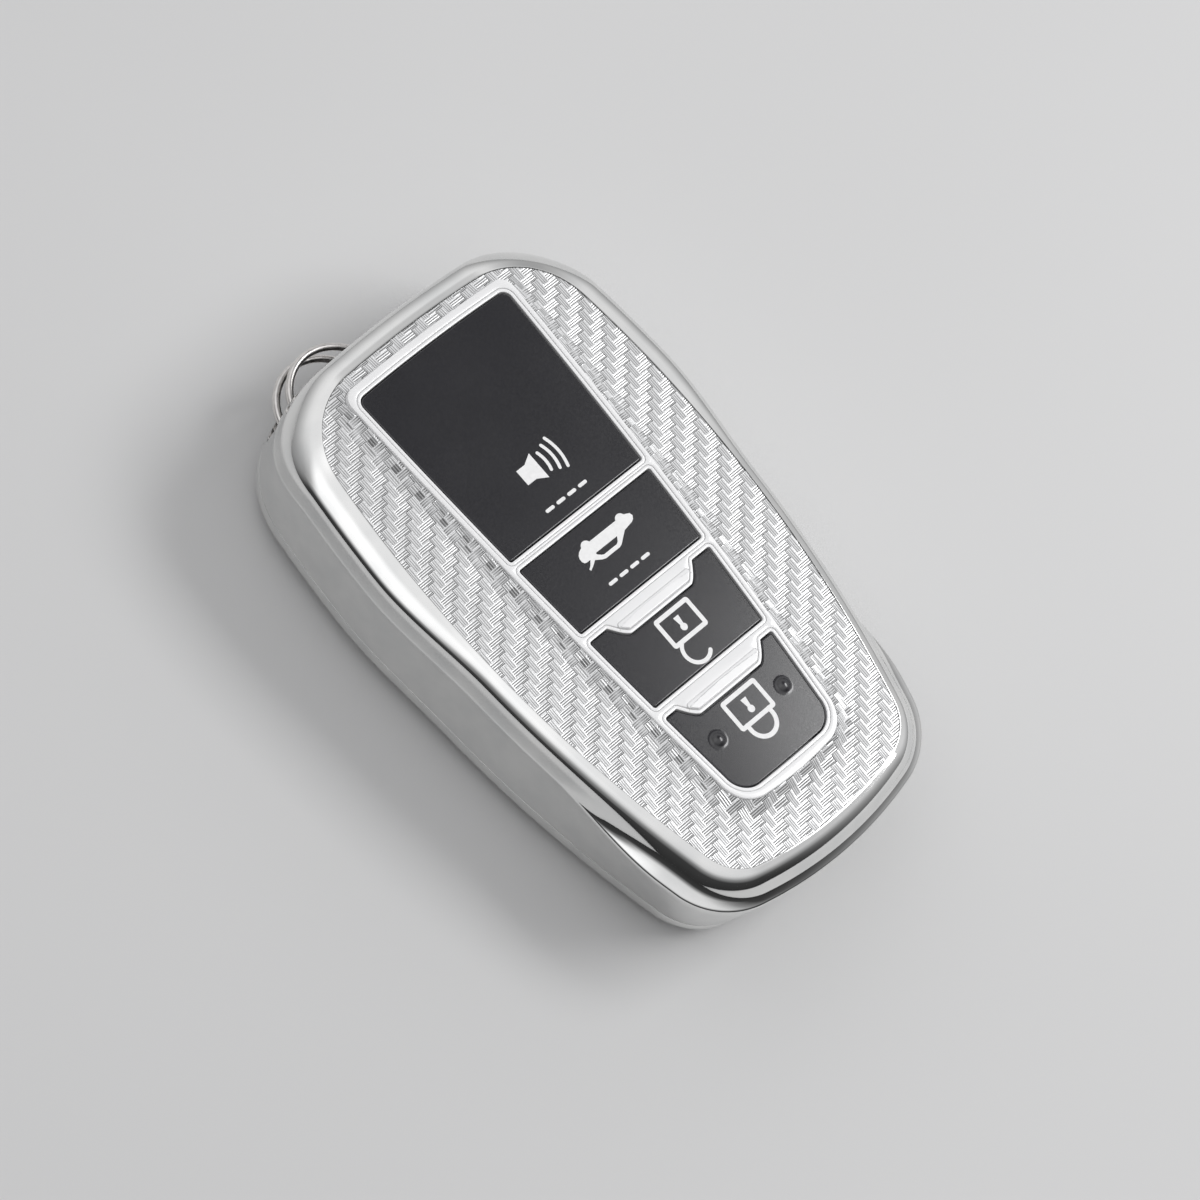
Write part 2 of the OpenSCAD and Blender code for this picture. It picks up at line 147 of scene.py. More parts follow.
# A distance too small to see, for telling edges apart, the least length that is divided by, and the
# distance within which two points of a filled area count as one
NEAR, TINY, WELD = 0.01, 1e-6, 1e-7

# Where the panel rises beside the frame, the weave is painted lighter as painted light, and half of each
# float along Y is painted darker by a share as a painted reflection, a share which is larger on the ring's
# side. The band starts and ends at two distances from the frame.
BESIDE_PAINTED_SHADE = (0.15, 0.42)
BESIDE_BAND = (0.3, 1.15)
BESIDE_FADE, BESIDE_END_FADE = 0.3, 2.0

# Buttons' window
WINDOW_KEY_GAP = 2.95
WINDOW_LOCK_GAP = 7.65
KEY_BAND = 7.85
LOCK_BAND = 7.86
WINDOW_BOW = 0.54
WINDOW_R = 3.0
WINDOW_KEY_R = 0.6
KEY_END_BOW = 0.23
LOCK_END_BOW = 0.27
HOLE_KEY_IN = 0.32
HOLE_KEY_R = 1.15
HOLE_LOCK_BOW = 0.06
WINDOW_END_BOW = 0.35
BUTTON_LENGTHS = {"trunk": 9.75, "unlock": 10.15, "lock": 12.5}
BARS = {"trunk": 1.2, "unlock": 1.25, "lock": 1.5}
FRAME_W = 1.35
FRAME_SEEN = 1.12
FRAME_END_EXTRA = 0.25
FRAME_H = 0.95
WEB_SEAT = 0.55
HOLE_R = 0.32

# Steps of a profile, as the distance out of its loop and the height from the frame's face: the frame's
# outer edge, its lip round each hole with a fine groove, and the pillow on each grip tab
EDGE_STEPS = [(0, -0.26), (-0.02, -0.16), (-0.06, -0.08), (-0.12, -0.025), (-0.2, 0)]
LIP_STEPS = [(0.0, -0.14), (0.02, -0.08), (0.07, -0.045), (0.35, -0.035), (0.385, -0.06), (0.4, -0.13),
             (0.47, -0.13), (0.485, -0.05), (0.52, -0.015), (0.57, 0.0)]
PILLOW_STEPS = [(0.0, -0.2), (0.0, 0.08), (-0.02, 0.13), (-0.06, 0.175), (-0.12, 0.2), (-0.16, 0.2)]
# Painted shade on the frame: the tones of its walls and of its fine groove and each pillow's foot, where
# shade falls, and the heights that bound them
WALL_PAINTED_SHADE, GROOVE_PAINTED_SHADE = 0.72, 0.62
WALL_FROM, GROOVE_TO, OUTSIDE_TO, FOOT_TO = -0.11, -0.2, -0.5, -0.15

# Buttons
BUTTON_GAP = 0.15
BUTTON_SINK = 0.2
TRAVEL = 0.45
NUB_D = 4.0
NUB_BEVEL = 0.2
NUB_GAP = 0.5
NUB_REACH = 0.4
FLANGE_W = 0.35
FLANGE_T = 0.55
FLANGE_GAP = 0.2
PAD_EDGE = 0.24
PAD_DROPS = {0.0: 0.14, 0.03: 0.07, 0.08: 0.02, 0.14: 0.0, 0.17: 0.0, PAD_EDGE: 0.0}
PAD_GRID, DOME_GRID, DOME_CLEAR = 0.6, 0.08, 0.2
PAD_CORNER_EXTRA = 0.1
PAD_CROWN = 0.06
DOME_R = 0.95
DOME_H = 0.46
DOME_TOP, DOME_FOOT = 0.85, 1.28
DOME_GAP = 10.8
DOME_SHARE = 0.44
MAT_T = 0.5
MAT_W = 3.0
MAT_BEVEL = 0.1
GAP = 0.1

# Grip tabs
TAB_GAPS = {"unlock": 2.8, "lock": 1.8}
TAB_L = 2.1
TAB_RUN = 2.2
TAB_FOOT = 0.2
TAB_POWER = 1.5
TAB_FILLET = 0.16
PILLOW_GROOVE = 0.13
WELL_D = 0.06
PILLOW_END, PILLOW_ROOT, PILLOW_TOP, PILLOW_R = 0.8, 0.4, 1.58, 0.3

# Split ring, post and slot
RING_D = 14.1
WIRE_D = 0.9
WIRE_END_SHARE = 0.78
RING_PITCH = 1.4
RING_SPLAY = 1.5
RING_TURNS = 2
RING_START = 60.0
RING_SEAT = 6.0
RING_GAP = 0.3
RING_POST_GAP = 0.45
POST_X = 8.9
POST_D = 2.4
POST_BEVEL = 0.2
POST_INSET = 8.3
POST_HEAD_GAP = 0.5
BOSS_WALL = 1.4
POST_Y = POST_INSET - PANEL_L / 2 - RIM_KEY_END
RING_Y = POST_Y - (RING_D - WIRE_D) / 2 + WIRE_D / 2 + POST_D / 2 + RING_POST_GAP
SLOT_TOP = 11.5
SLOT_GAP = 1.7
SLOT_HALF = RING_D / 2 + SLOT_GAP

# Corners of the ring's slot, of the tongue below it and of the notch in the lip, and how far a cutter
# reaches below the parting line and past other faces
SLOT_R, TONGUE_R, NOTCH_R = 1.6, 0.3, 0.2
CUT_BELOW, CUT_PAST = 3.0, 1.0

# Heights
PANEL_Z = BODY_H - PANEL_SINK
WEB_Z = PANEL_Z - PANEL_T
INNER_Z = WEB_Z - WEB_T
FRAME_Z = BODY_H + FRAME_H
BUTTON_Z = FRAME_Z - BUTTON_SINK
FLANGE_Z = WEB_Z - FLANGE_GAP - FLANGE_T
MAT_TOP = FLANGE_Z - TRAVEL - GAP
MAT_Z = MAT_TOP - MAT_T
NUB_Z = MAT_Z - NUB_REACH

# Sag of the two ends below the middle of the front, for each square millimetre of distance
ARCH = 0.000232

# A moved point is sound when its distance from the old loop is this share of the move. A bridged knot
# bows out by a share of its chord, so that no three points lie in line.
SOUND_SHARE = 0.99
KNOT_BOW = 0.02

# The photograph's camera
CAMERA_PLACE = (320.41, 39.81, 568.0)
CAMERA_AZIMUTH, CAMERA_ELEVATION, CAMERA_ROLL = 96.981, 60.0, -43.075
CAMERA_LENS, CAMERA_SENSOR = 173.38, 36
CAMERA_CLIP = (0.01, 50)

# The soft box over the far side, in millimetres and watts, and the floor's half width
LIGHT_PLACE, LIGHT_AIM, LIGHT_SIZE, LIGHT_POWER = (-385, 205, 490), (0, 20, 15), (210, 400), 1.85
FLOOR_HALF = 6000

# The surround: its grey by height on the dark and on the light side, then the directions in which it
# changes, with the nearness to each where the change starts and ends, and the levels there
DARK_SIDE = [(0.0, 0.03), (0.42, 0.05), (0.6, 0.3), (0.78, 0.8), (1.0, 0.92)]
LIGHT_SIDE = [(0.0, 0.36), (0.2, 0.56), (0.45, 0.82), (0.8, 1.0), (1.0, 1.0)]
COOL = 1.01
TO_LIGHT = (-1, -0.75, 0), (-0.35, 0.45), 0, 1
TO_DIM = (-0.5, -0.22, 0.84), (0.86, 0.97), 1.0, 0.18
TO_GLOW = (0.48, -0.25, 0.84), (0.88, 0.985), 1.0, 1.45


def mix(a, b, t):
    return a + (b - a) * t


def smooth(t):
    u = np.clip(t, 0, 1)
    return u * u * (3 - 2 * u)


# Outline of the panel, as in the CAD frame

def bearing(a, b):
    return math.degrees(math.atan2(b[1] - a[1], b[0] - a[0]))


def tangent_centre(a, ra, b, rb):
    a, b = np.array(a), np.array(b)
    d = b - a
    length = np.hypot(*d)
    s = (ra * ra - rb * rb + length * length) / (2 * length)
    h = math.sqrt(ra * ra - s * s)
    u = d / length
    return a + u * s + h * np.array([-u[1], u[0]])


def arc_samples(centre, radius, first, last, steps):
    t = np.radians(first + (last - first) * np.arange(steps) / steps)
    n = np.c_[np.cos(t), np.sin(t)]
    return np.c_[np.array(centre) + radius * n, n]


def outline_samples():
    """The closed outline from the keyring end round +X, as rows of x, y, normal x and normal y."""
    key_c = [KEY_W / 2 - KEY_R, KEY_END_R - PANEL_L / 2
             - math.sqrt((KEY_END_R - KEY_R) ** 2 - (KEY_W / 2 - KEY_R) ** 2)]
    lock_c = [LOCK_W / 2 - LOCK_R, PANEL_L / 2 - LOCK_END_R
              + math.sqrt((LOCK_END_R - LOCK_R) ** 2 - (LOCK_W / 2 - LOCK_R) ** 2)]
    key_end_c = [0, KEY_END_R - PANEL_L / 2]
    lock_end_c = [0, PANEL_L / 2 - LOCK_END_R]
    side_c = tangent_centre(key_c, SIDE_R - KEY_R, lock_c, SIDE_R - LOCK_R)
    turns = [-90, bearing(key_end_c, key_c), bearing(side_c, key_c), bearing(side_c, lock_c),
             bearing(lock_end_c, lock_c), 90]
    centres = [key_end_c, key_c, side_c, lock_c, lock_end_c]
    radii = [KEY_END_R, KEY_R, SIDE_R, LOCK_R, LOCK_END_R]
    half = np.vstack([arc_samples(c, r, turns[k], turns[k + 1], ARC_STEPS[k])
                      for k, (c, r) in enumerate(zip(centres, radii))])
    mirrored = half[:0:-1] * [-1, 1, -1, 1]
    return np.vstack([half, [[0, PANEL_L / 2, 0, 1]], mirrored])


LINE = outline_samples()
SX, SY, NX, NY = LINE.T
TO_KEY = np.where(NY < 0, NY * NY, 0)
TO_LOCK = np.where(NY > 0, NY * NY, 0)
AT_CORNER = 4 * NX * NX * TO_KEY
SIDE_SHARE = NX * NX * smooth((SY - SHOULDER_FROM) / SHOULDER_RUN)
RIM_OUT = (NX * NX * (RIM_W + RIM_KEY_EXTRA * smooth((RIM_FROM - SY) / RIM_RUN))
           + TO_KEY * RIM_KEY_END + TO_LOCK * RIM_LOCK_END + AT_CORNER * RIM_CORNER_EXTRA)
RIM_DOWN = RIM_DROP + AT_CORNER * CORNER_DROP
SHOULDER_OUT = RIM_OUT + SIDE_SWELL + TO_LOCK * SHOULDER_END + SIDE_SHARE * SHOULDER_SIDE
SHOULDER_DOWN = RIM_DOWN + SHOULDER_DROP - SHOULDER_LIFT * (SIDE_SHARE + TO_LOCK)
LOW_OUT = LOW_W + LOW_SHARE * RIM_OUT


def outline(d):
    return LINE[:, :2] + d * LINE[:, 2:]


# Window, buttons' spans and their loops

WINDOW_KEY_W = KEY_W - 2 * KEY_BAND
WINDOW_LOCK_W = LOCK_W - 2 * LOCK_BAND
WINDOW_START = WINDOW_KEY_GAP - PANEL_L / 2
WINDOW_END = PANEL_L / 2 - WINDOW_LOCK_GAP
SIDE_FIRST = WINDOW_START + WINDOW_KEY_R
SIDE_LAST = WINDOW_END - WINDOW_END_BOW - WINDOW_R


def button_spans():
    """The lowest and highest y of each button's hole, worked out from the lock end on."""
    spans, top = {}, WINDOW_END
    for name in ("lock", "unlock", "trunk"):
        spans[name] = (top - BUTTON_LENGTHS[name], top)
        top = spans[name][0] - BARS[name]
    spans["panic"] = (WINDOW_START, top)
    return spans


SPANS = button_spans()
DOMES = {"lock": [np.array([x, mix(*SPANS["lock"], DOME_SHARE)]) for x in (-DOME_GAP / 2, DOME_GAP / 2)]}


def window_half(y):
    u = (y - SIDE_FIRST) / (SIDE_LAST - SIDE_FIRST)
    return mix(WINDOW_KEY_W, WINDOW_LOCK_W, u) / 2 + 4 * WINDOW_BOW * u * (1 - u)


def arc_points(cx, cy, r, first, last, steps):
    t = np.radians(np.linspace(first, last, steps + 1))
    return np.c_[cx + r * np.cos(t), cy + r * np.sin(t)]


def circle(x, y, r, steps):
    t = np.linspace(0, 2 * math.pi, steps, endpoint=False)
    return np.c_[x + r * np.cos(t), y + r * np.sin(t)]


def round_box(x0, y0, x1, y1, r, steps=5):
    """A box with rounded corners, from its low corner to its high one."""
    corners = [(x1 - r, y0 + r, -90), (x1 - r, y1 - r, 0), (x0 + r, y1 - r, 90), (x0 + r, y0 + r, 180)]
    return np.vstack([arc_points(cx, cy, r, a, a + 90, steps) for cx, cy, a in corners])


def tab_rise(x, half):
    """Height of a grip tab's edge above its root, at a distance x from the centre line."""
    u = np.clip((half - np.abs(x)) / TAB_RUN, 0, 1)
    y = TAB_L * (1 - (1 - u) ** TAB_POWER)
    full = math.hypot(TAB_L, TAB_FILLET) - TAB_FILLET
    return (np.hypot(y, TAB_FILLET) - TAB_FILLET) * TAB_L / full


def key_end(low, r):
    """The window's bowed keyring end from the centre line to the start of its side."""
    cy = low + r
    cx = window_half(max(cy, SIDE_FIRST)) - r
    x = np.linspace(0, cx, 24)[:-1]
    edge = np.c_[x, low - KEY_END_BOW * (1 - (x / cx) ** 2)]
    return np.vstack([edge, arc_points(cx, cy, r, -90, 0, 12)])


def lock_end(bow):
    """The window's bowed lock end from the end of its side back to the centre line."""
    cx, cy = WINDOW_LOCK_W / 2 - WINDOW_R, SIDE_LAST
    x = np.linspace(cx, 0, 20)[1:]
    edge = np.c_[x, cy + WINDOW_R + bow * (1 - (x / cx) ** 2)]
    return np.vstack([arc_points(cx, cy, WINDOW_R, 4, 90, 18), edge])


def low_end(name, low, corner):
    """The lower end of a button's hole from the centre line to the start of its side."""
    if name == "panic":
        return key_end(low + HOLE_KEY_IN, HOLE_KEY_R)
    y = low + corner
    cx = window_half(y) - corner
    if name in TAB_GAPS:
        half = window_half(low) - TAB_GAPS[name]
        top, foot = half - TAB_RUN, half + TAB_FOOT
        x = np.r_[np.linspace(0, top, 12)[:-1], np.linspace(top, foot, 34)[:-1],
                  np.linspace(foot, cx, 8)[:-1]]
        edge = np.c_[x, low + tab_rise(x, half)]
    else:
        x = np.linspace(0, cx, 24)[:-1]
        edge = np.c_[x, np.full(len(x), low)]
    return np.vstack([edge, arc_points(cx, y, corner, -90, 0, 6)])


def high_end(name, high, corner):
    """The upper end of a button's hole from the end of its side back to the centre line."""
    if name == "lock":
        return lock_end(HOLE_LOCK_BOW)
    y = high - corner
    cx = window_half(y) - corner
    x = np.linspace(cx, 0, 24)[1:]
    return np.vstack([arc_points(cx, y, corner, 0, 90, 6), np.c_[x, np.full(len(x), high)]])


def closed_loop(first, last, steps):
    """A closed loop from its lower and its upper end, with the window's side between, mirrored to -X."""
    y = np.linspace(first[-1, 1], last[0, 1], steps)[1:-1]
    half = np.vstack([first, np.c_[window_half(y), y], last])
    return np.vstack([half, half[-2:0:-1] * [-1, 1]])


def hole_loop(name, corner=HOLE_R):
    """The closed outline of a button's hole, with rounded corners."""
    low, high = SPANS[name]
    return closed_loop(low_end(name, low, corner), high_end(name, high, corner), 26)


def offset(loop, d):
    """The loop moved outwards by d along its own normals, without the knots of tight corners."""
    step = np.roll(loop, -1, 0) - np.roll(loop, 1, 0)
    n = np.c_[step[:, 1], -step[:, 0]] / np.linalg.norm(step, axis=1, keepdims=True)
    moved = loop + d * n
    sound = np.flatnonzero(distance_to(moved, loop) > SOUND_SHARE * abs(d))
    if len(sound) == len(loop) or d == 0:
        return moved
    onward = np.roll(sound, -1)
    sound = sound[((moved[onward] - moved[sound]) * (loop[onward] - loop[sound])).sum(1) > 0]
    at = np.arange(len(loop))
    before = np.searchsorted(sound, at, side="right") - 1
    start, end = sound[before], sound[(before + 1) % len(sound)]
    t = ((at - start) % len(loop) / ((end - start) % len(loop)))[:, None]
    chord = moved[end] - moved[start]
    return moved[start] + t * chord + KNOT_BOW * 4 * t * (1 - t) * np.c_[chord[:, 1], -chord[:, 0]]


def resampled(loop, count):
    """The loop with count points, evenly spaced on each half, from the lower centre round +X."""
    half = loop[:len(loop) // 2 + 1]
    run = np.r_[0, np.cumsum(np.hypot(*np.diff(half, axis=0).T))]
    at = np.linspace(0, run[-1], count // 2 + 1)
    points = np.c_[np.interp(at, run, half[:, 0]), np.interp(at, run, half[:, 1])]
    return np.vstack([points, points[-2:0:-1] * [-1, 1]])


WINDOW = closed_loop(key_end(WINDOW_START, WINDOW_KEY_R), lock_end(LOCK_END_BOW), 80)


def frame_edge(d=0.0):
    """The frame's outer outline moved outwards by d. The frame is a little wider at the lock end."""
    loop = offset(WINDOW, FRAME_SEEN + d)
    loop[:, 1] += FRAME_END_EXTRA * smooth((loop[:, 1] - SIDE_LAST) / WINDOW_R)
    return loop


# Mesh helpers

def at_height(loop, z):
    """The loop as points in space, at one height or at a height for each point."""
    return np.c_[loop, np.broadcast_to(z, len(loop))]


def inside(points, loop):
    """Which points lie inside a closed loop."""
    a, b = loop, np.roll(loop, -1, 0)
    found = np.zeros(len(points), bool)
    for (ax, ay), (bx, by) in zip(a, b):
        if ay == by:
            continue
        crosses = (ay > points[:, 1]) != (by > points[:, 1])
        found ^= crosses & (points[:, 0] < (bx - ax) * (points[:, 1] - ay) / (by - ay) + ax)
    return found


def distance_to(points, loop):
    """Each point's distance to a closed loop."""
    a, d = loop, np.roll(loop, -1, 0) - loop
    least = np.full(len(points), np.inf)
    for start, step in zip(a, d):
        t = np.clip(((points - start) @ step) / (step @ step), 0, 1)
        away = points - start - t[:, None] * step
        least = np.minimum(least, np.einsum("ij,ij->i", away, away))
    return np.sqrt(least)


class Build:
    """Collects the points and faces of one mesh."""

    def __init__(self):
        self.points, self.faces, self.count = [], [], 0

    def add(self, points):
        self.points.append(np.asarray(points, float))
        self.count += len(points)
        return np.arange(self.count - len(points), self.count)

    def strip(self, a, b):
        """Quads between two closed rings of point numbers. The faces look outwards for rings that go up."""
        nxt_a, nxt_b = np.roll(a, -1), np.roll(b, -1)
        self.faces += np.c_[a, nxt_a, nxt_b, b].tolist()

    def rings(self, rings, closed=False):
        ids = [self.add(r) for r in rings]
        for a, b in zip(ids, ids[1:]):
            self.strip(a, b)
        if closed:
            self.strip(ids[-1], ids[0])
        return ids

    def caps(self, ids):
        """One face over the first ring, looking down, and one over the last, looking up."""
        self.faces += [list(ids[0][::-1]), list(ids[-1])]

    def fill(self, rings, up, inner=None, inner_z=None):
        """Triangles over the area inside an odd number of the rings, with inner points if any."""
        ids = np.concatenate(rings)
        if inner is not None:
            ids = np.r_[ids, self.add(np.c_[inner, inner_z])]
        points = np.vstack(self.points)[ids, :2]
        edges, loops, start = [], [], 0
        for ring in rings:
            n = len(ring)
            edges += [(start + k, start + (k + 1) % n) for k in range(n)]
            loops.append(points[start:start + n])
            start += n
        _, _, tris, source, _, _ = delaunay_2d_cdt([Vector(p) for p in points], edges, [], 0, WELD)
        tris = np.array([s[0] if s else -1 for s in source])[np.array(tris)]
        centre = points[tris].mean(1)
        keep = np.zeros(len(tris), bool)
        for loop in loops:
            keep ^= inside(centre, loop)
        tris = tris[keep & (tris >= 0).all(1)]
        a, b, c = (points[tris[:, k]] for k in range(3))
        area = (b[:, 0] - a[:, 0]) * (c[:, 1] - a[:, 1]) - (b[:, 1] - a[:, 1]) * (c[:, 0] - a[:, 0])
        tris[(area < 0) == up] = tris[(area < 0) == up][:, ::-1]
        self.faces += ids[tris].tolist()

    def fill_ends(self, bottoms, tops):
        self.fill(tops, True)
        self.fill(bottoms, False)

    def prism(self, loops, low, high):
        """A closed upright solid over the first loop, less the others."""
        bottoms = [self.add(at_height(loop, low)) for loop in loops]
        tops = [self.add(at_height(loop, high)) for loop in loops]
        for k, (a, b) in enumerate(zip(bottoms, tops)):
            self.strip(*((a[::-1], b[::-1]) if k else (a, b)))
        self.fill_ends(bottoms, tops)
        return self

    def mesh(self, name):
        return make_mesh(name, np.vstack(self.points), self.faces)


def linked(name, data):
    """A new object in the scene."""
    made = bpy.data.objects.new(name, data)
    bpy.context.scene.collection.objects.link(made)
    return made


def make_mesh(name, points, faces):
    mesh = bpy.data.meshes.new(name)
    mesh.from_pydata((np.asarray(points) * MM).tolist(), [], faces)
    mesh.validate()
    return linked(name, mesh)


def combined(made, other, operation):
    """Applies a Boolean operation with another object, which is then removed."""
    cut = made.modifiers.new("cut", "BOOLEAN")
    cut.operation = operation
    cut.object = other
    cut.solver = "MANIFOLD"
    graph = bpy.context.evaluated_depsgraph_get()
    mesh = bpy.data.meshes.new_from_object(made.evaluated_get(graph))
    made.modifiers.clear()
    made.data = mesh
    bpy.data.objects.remove(other)


def points_of(made):
    """The mesh's points, as an array in millimetres."""
    co = np.zeros(len(made.data.vertices) * 3)
    made.data.vertices.foreach_get("co", co)
    return co.reshape(-1, 3) / MM


def move_points(made, change):
    made.data.vertices.foreach_set("co", (change(points_of(made)) * MM).ravel())
    made.data.update()


def arched(points):
    """The gentle arch of the front along its length, which fades out down to the parting line."""
    p = points.copy()
    p[:, 2] -= ARCH * p[:, 1] ** 2 * smooth((p[:, 2] - PART_H) / (PANEL_Z - PART_H))
    return p


def set_tone(made, tone_of):
    """Keeps a tone for each point of the mesh, which its material multiplies its colour by."""
    values = tone_of(points_of(made))
    made.data.attributes.new("tone", "FLOAT", "POINT").data.foreach_set("value", values)


def finish_piece(made, body, material, sharp):
    """Bends a piece of the front, shades it, gives it its material and body, and hides the CAD part it stands
    in for.
    """
    if body not in ("rear", "ring"):
        move_points(made, arched)
    made.data.shade_smooth()
    made.data.set_sharp_from_angle(angle=math.radians(sharp))
    made.data.materials.clear()
    made.data.materials.append(material)
    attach(made, body)
    if made.name.endswith("_piece"):
        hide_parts(made.name.removesuffix("_piece"))


# Shells

def lifted(width, z):
    """A ring of the body: each outline sample has its own width and height."""
    width = np.broadcast_to(width, len(LINE))
    return np.c_[SX + width * NX, SY + width * NY, np.broadcast_to(z, len(LINE))]


def rounded_rings(corners, steps=8, spread=4):
    """Rings along a profile of (width, height, rounding) corners, with each corner a smooth curve and
    more rings spread over each wide gap."""
    n = len(LINE)
    p = [np.c_[np.broadcast_to(w, n), np.broadcast_to(z, n)] for w, z, _ in corners]
    rings = []
    for k, (_, _, radius) in enumerate(corners):
        if radius == 0 or k in (0, len(p) - 1):
            ends = [p[k]]
        else:
            ways = (p[k - 1] - p[k], p[k + 1] - p[k])
            lengths = (np.maximum(np.linalg.norm(way, axis=1, keepdims=True), TINY) for way in ways)
            a, b = (p[k] + way / length * np.minimum(radius, ROUND_SHARE * length)
                    for way, length in zip(ways, lengths))
            ends = [(1 - t) ** 2 * a + 2 * t * (1 - t) * p[k] + t * t * b
                    for t in np.linspace(0, 1, steps + 1)]
        if rings and np.linalg.norm(ends[0] - rings[-1], axis=1).mean() > WIDE_GAP:
            rings += [mix(rings[-1], ends[0], t) for t in np.linspace(0, 1, spread + 2)[1:-1]]
        rings += ends
    return [lifted(r[:, 0], r[:, 1]) for r in rings]


def wall_corners(inward, roundings):
    """Corners of the wall between the parting line and the rim's edge, drawn in by a wall."""
    widths = [mix(LOW_OUT, SHOULDER_OUT, BELLY_OUT_SHARE), SHOULDER_OUT - SIDE_SWELL / 2, SHOULDER_OUT,
              mix(RIM_OUT, SHOULDER_OUT, SHOULDER_TOP_SHARE),
              mix(RIM_OUT, SHOULDER_OUT, NECK_OUT_SHARE), RIM_OUT]
    shoulder_z = BODY_H - SHOULDER_DOWN
    heights = [mix(PART_H, shoulder_z, BELLY_UP_SHARE), shoulder_z - SHOULDER_ROLL, shoulder_z,
               shoulder_z + SHOULDER_ROLL * SHOULDER_UP_SHARE,
               BODY_H - mix(RIM_DOWN, SHOULDER_DOWN, NECK_DOWN_SHARE), BODY_H - RIM_DOWN]
    return [(w - inward, h, r) for w, h, r in zip(widths, heights, roundings)]


def slot_cutter(low, high, half, corner):
    """A long box with rounded edges along Y, for the ring's slot in the end wall."""
    loop = round_box(POST_X - half, low, POST_X + half, high, corner, 8)
    build = Build()
    build.caps(build.rings([np.c_[loop[:, 0], np.full(len(loop), y), loop[:, 1]]
                            for y in (RING_Y + 2 * WALL, -PANEL_L)]))
    return build.mesh("slot_cutter")


def front_shell():
    outer = rounded_rings([(LOW_OUT - WALL, PART_H, 0), (LOW_OUT, PART_H, SEAM)]
                          + wall_corners(0, WALL_ROUNDINGS)
                          + [(mix(RIM_LAND, RIM_OUT, CROWN_AT), BODY_H - CROWN_DOWN * RIM_DOWN, CROWN_R),
                             (RIM_LAND, BODY_H, LAND_R), (0, BODY_H, 0), (0, WEB_Z, 0)])
    inner_top = mix(RIM_LAND, RIM_OUT, INNER_TOP_SHARE) - WALL
    walls = wall_corners(WALL, [0] * len(WALL_ROUNDINGS))
    inner = [(inner_top, INNER_Z, 0), walls[4]] + walls[2::-1]
    window = resampled(offset(WINDOW, FRAME_W - WEB_SEAT), len(LINE))
    build = Build()
    build.rings(outer + [at_height(window, WEB_Z), at_height(window, INNER_Z)]
                + [lifted(w, z) for w, z, _ in inner], closed=True)
    made = build.mesh("front_shell_piece")
    combined(made, slot_cutter(PART_H - CUT_BELOW, SLOT_TOP, SLOT_HALF, SLOT_R), "DIFFERENCE")
    return made


def tray():
    """The rear shell: rounded outside, a lip inside the seam, and a floor with rounded corners."""
    lip_out = LOW_OUT - WALL - LIP_GAP
    lip_in = lip_out - LIP_T
    profile = rounded_rings([(-REAR_INSET, REAR_T, 0), (-REAR_INSET, 0, RECESS_R),
                             (LOW_OUT - REAR_R, 0, REAR_FACE_R)], spread=1)
    profile += [lifted(LOW_OUT - REAR_R * (1 - math.sin(t)), REAR_R * (1 - math.cos(t)))
                for t in map(math.radians, range(0, 91, 6))]
    profile += rounded_rings([(LOW_OUT, WALL_START, 0), (LOW_OUT, PART_H, SEAM), (lip_out, PART_H, 0),
                              (lip_out, PART_H + LIP_H, LIP_R), (lip_in, PART_H + LIP_H, LIP_R),
                              (lip_in, FLOOR_T, FLOOR_R), (lip_in - FLOOR_IN, FLOOR_T, 0)], spread=1)
    build = Build()
    ids = build.rings(profile)
    build.fill([ids[0]], False)
    build.fill([ids[-1]], True)
    return build.mesh("rear_shell_piece")


def cylinder(name, x, y, low, high, d, bevel=0.0, steps=48):
    """An upright round pin with bevelled ends."""
    radii = [(d / 2 - bevel, low), (d / 2, low + bevel), (d / 2, high - bevel), (d / 2 - bevel, high)]
    if not bevel:
        radii = [radii[0], radii[-1]]
    build = Build()
    build.caps(build.rings([at_height(circle(x, y, r, steps), z) for r, z in radii]))
    return build.mesh(name)


def rear_shell():
    made = tray()
    notch = slot_cutter(PART_H + NEAR, PART_H + LIP_H + CUT_PAST, SLOT_HALF + SLOT_GAP, NOTCH_R)
    combined(made, notch, "DIFFERENCE")
    low, high = PART_H - CUT_PAST, RING_SEAT
    build = Build()
    build.rings([lifted(LOW_OUT, low), lifted(LOW_OUT, high), lifted(LOW_OUT - WALL, high),
                 lifted(LOW_OUT - WALL, low)], closed=True)
    tongue = build.mesh("tongue")
    cutter = slot_cutter(PART_H - CUT_BELOW, high + 2 * CUT_PAST, SLOT_HALF - GAP, TONGUE_R)
    combined(tongue, cutter, "INTERSECT")
    combined(made, tongue, "UNION")
    boss_d = POST_D + 2 * BOSS_WALL
    combined(made, cylinder("boss", POST_X, POST_Y, FLOOR_T / 2, RING_SEAT, boss_d), "UNION")
    combined(made, cylinder("bore", POST_X, POST_Y, FLOOR_T, RING_SEAT + CUT_PAST, POST_D), "DIFFERENCE")
    return made


# Twill panels

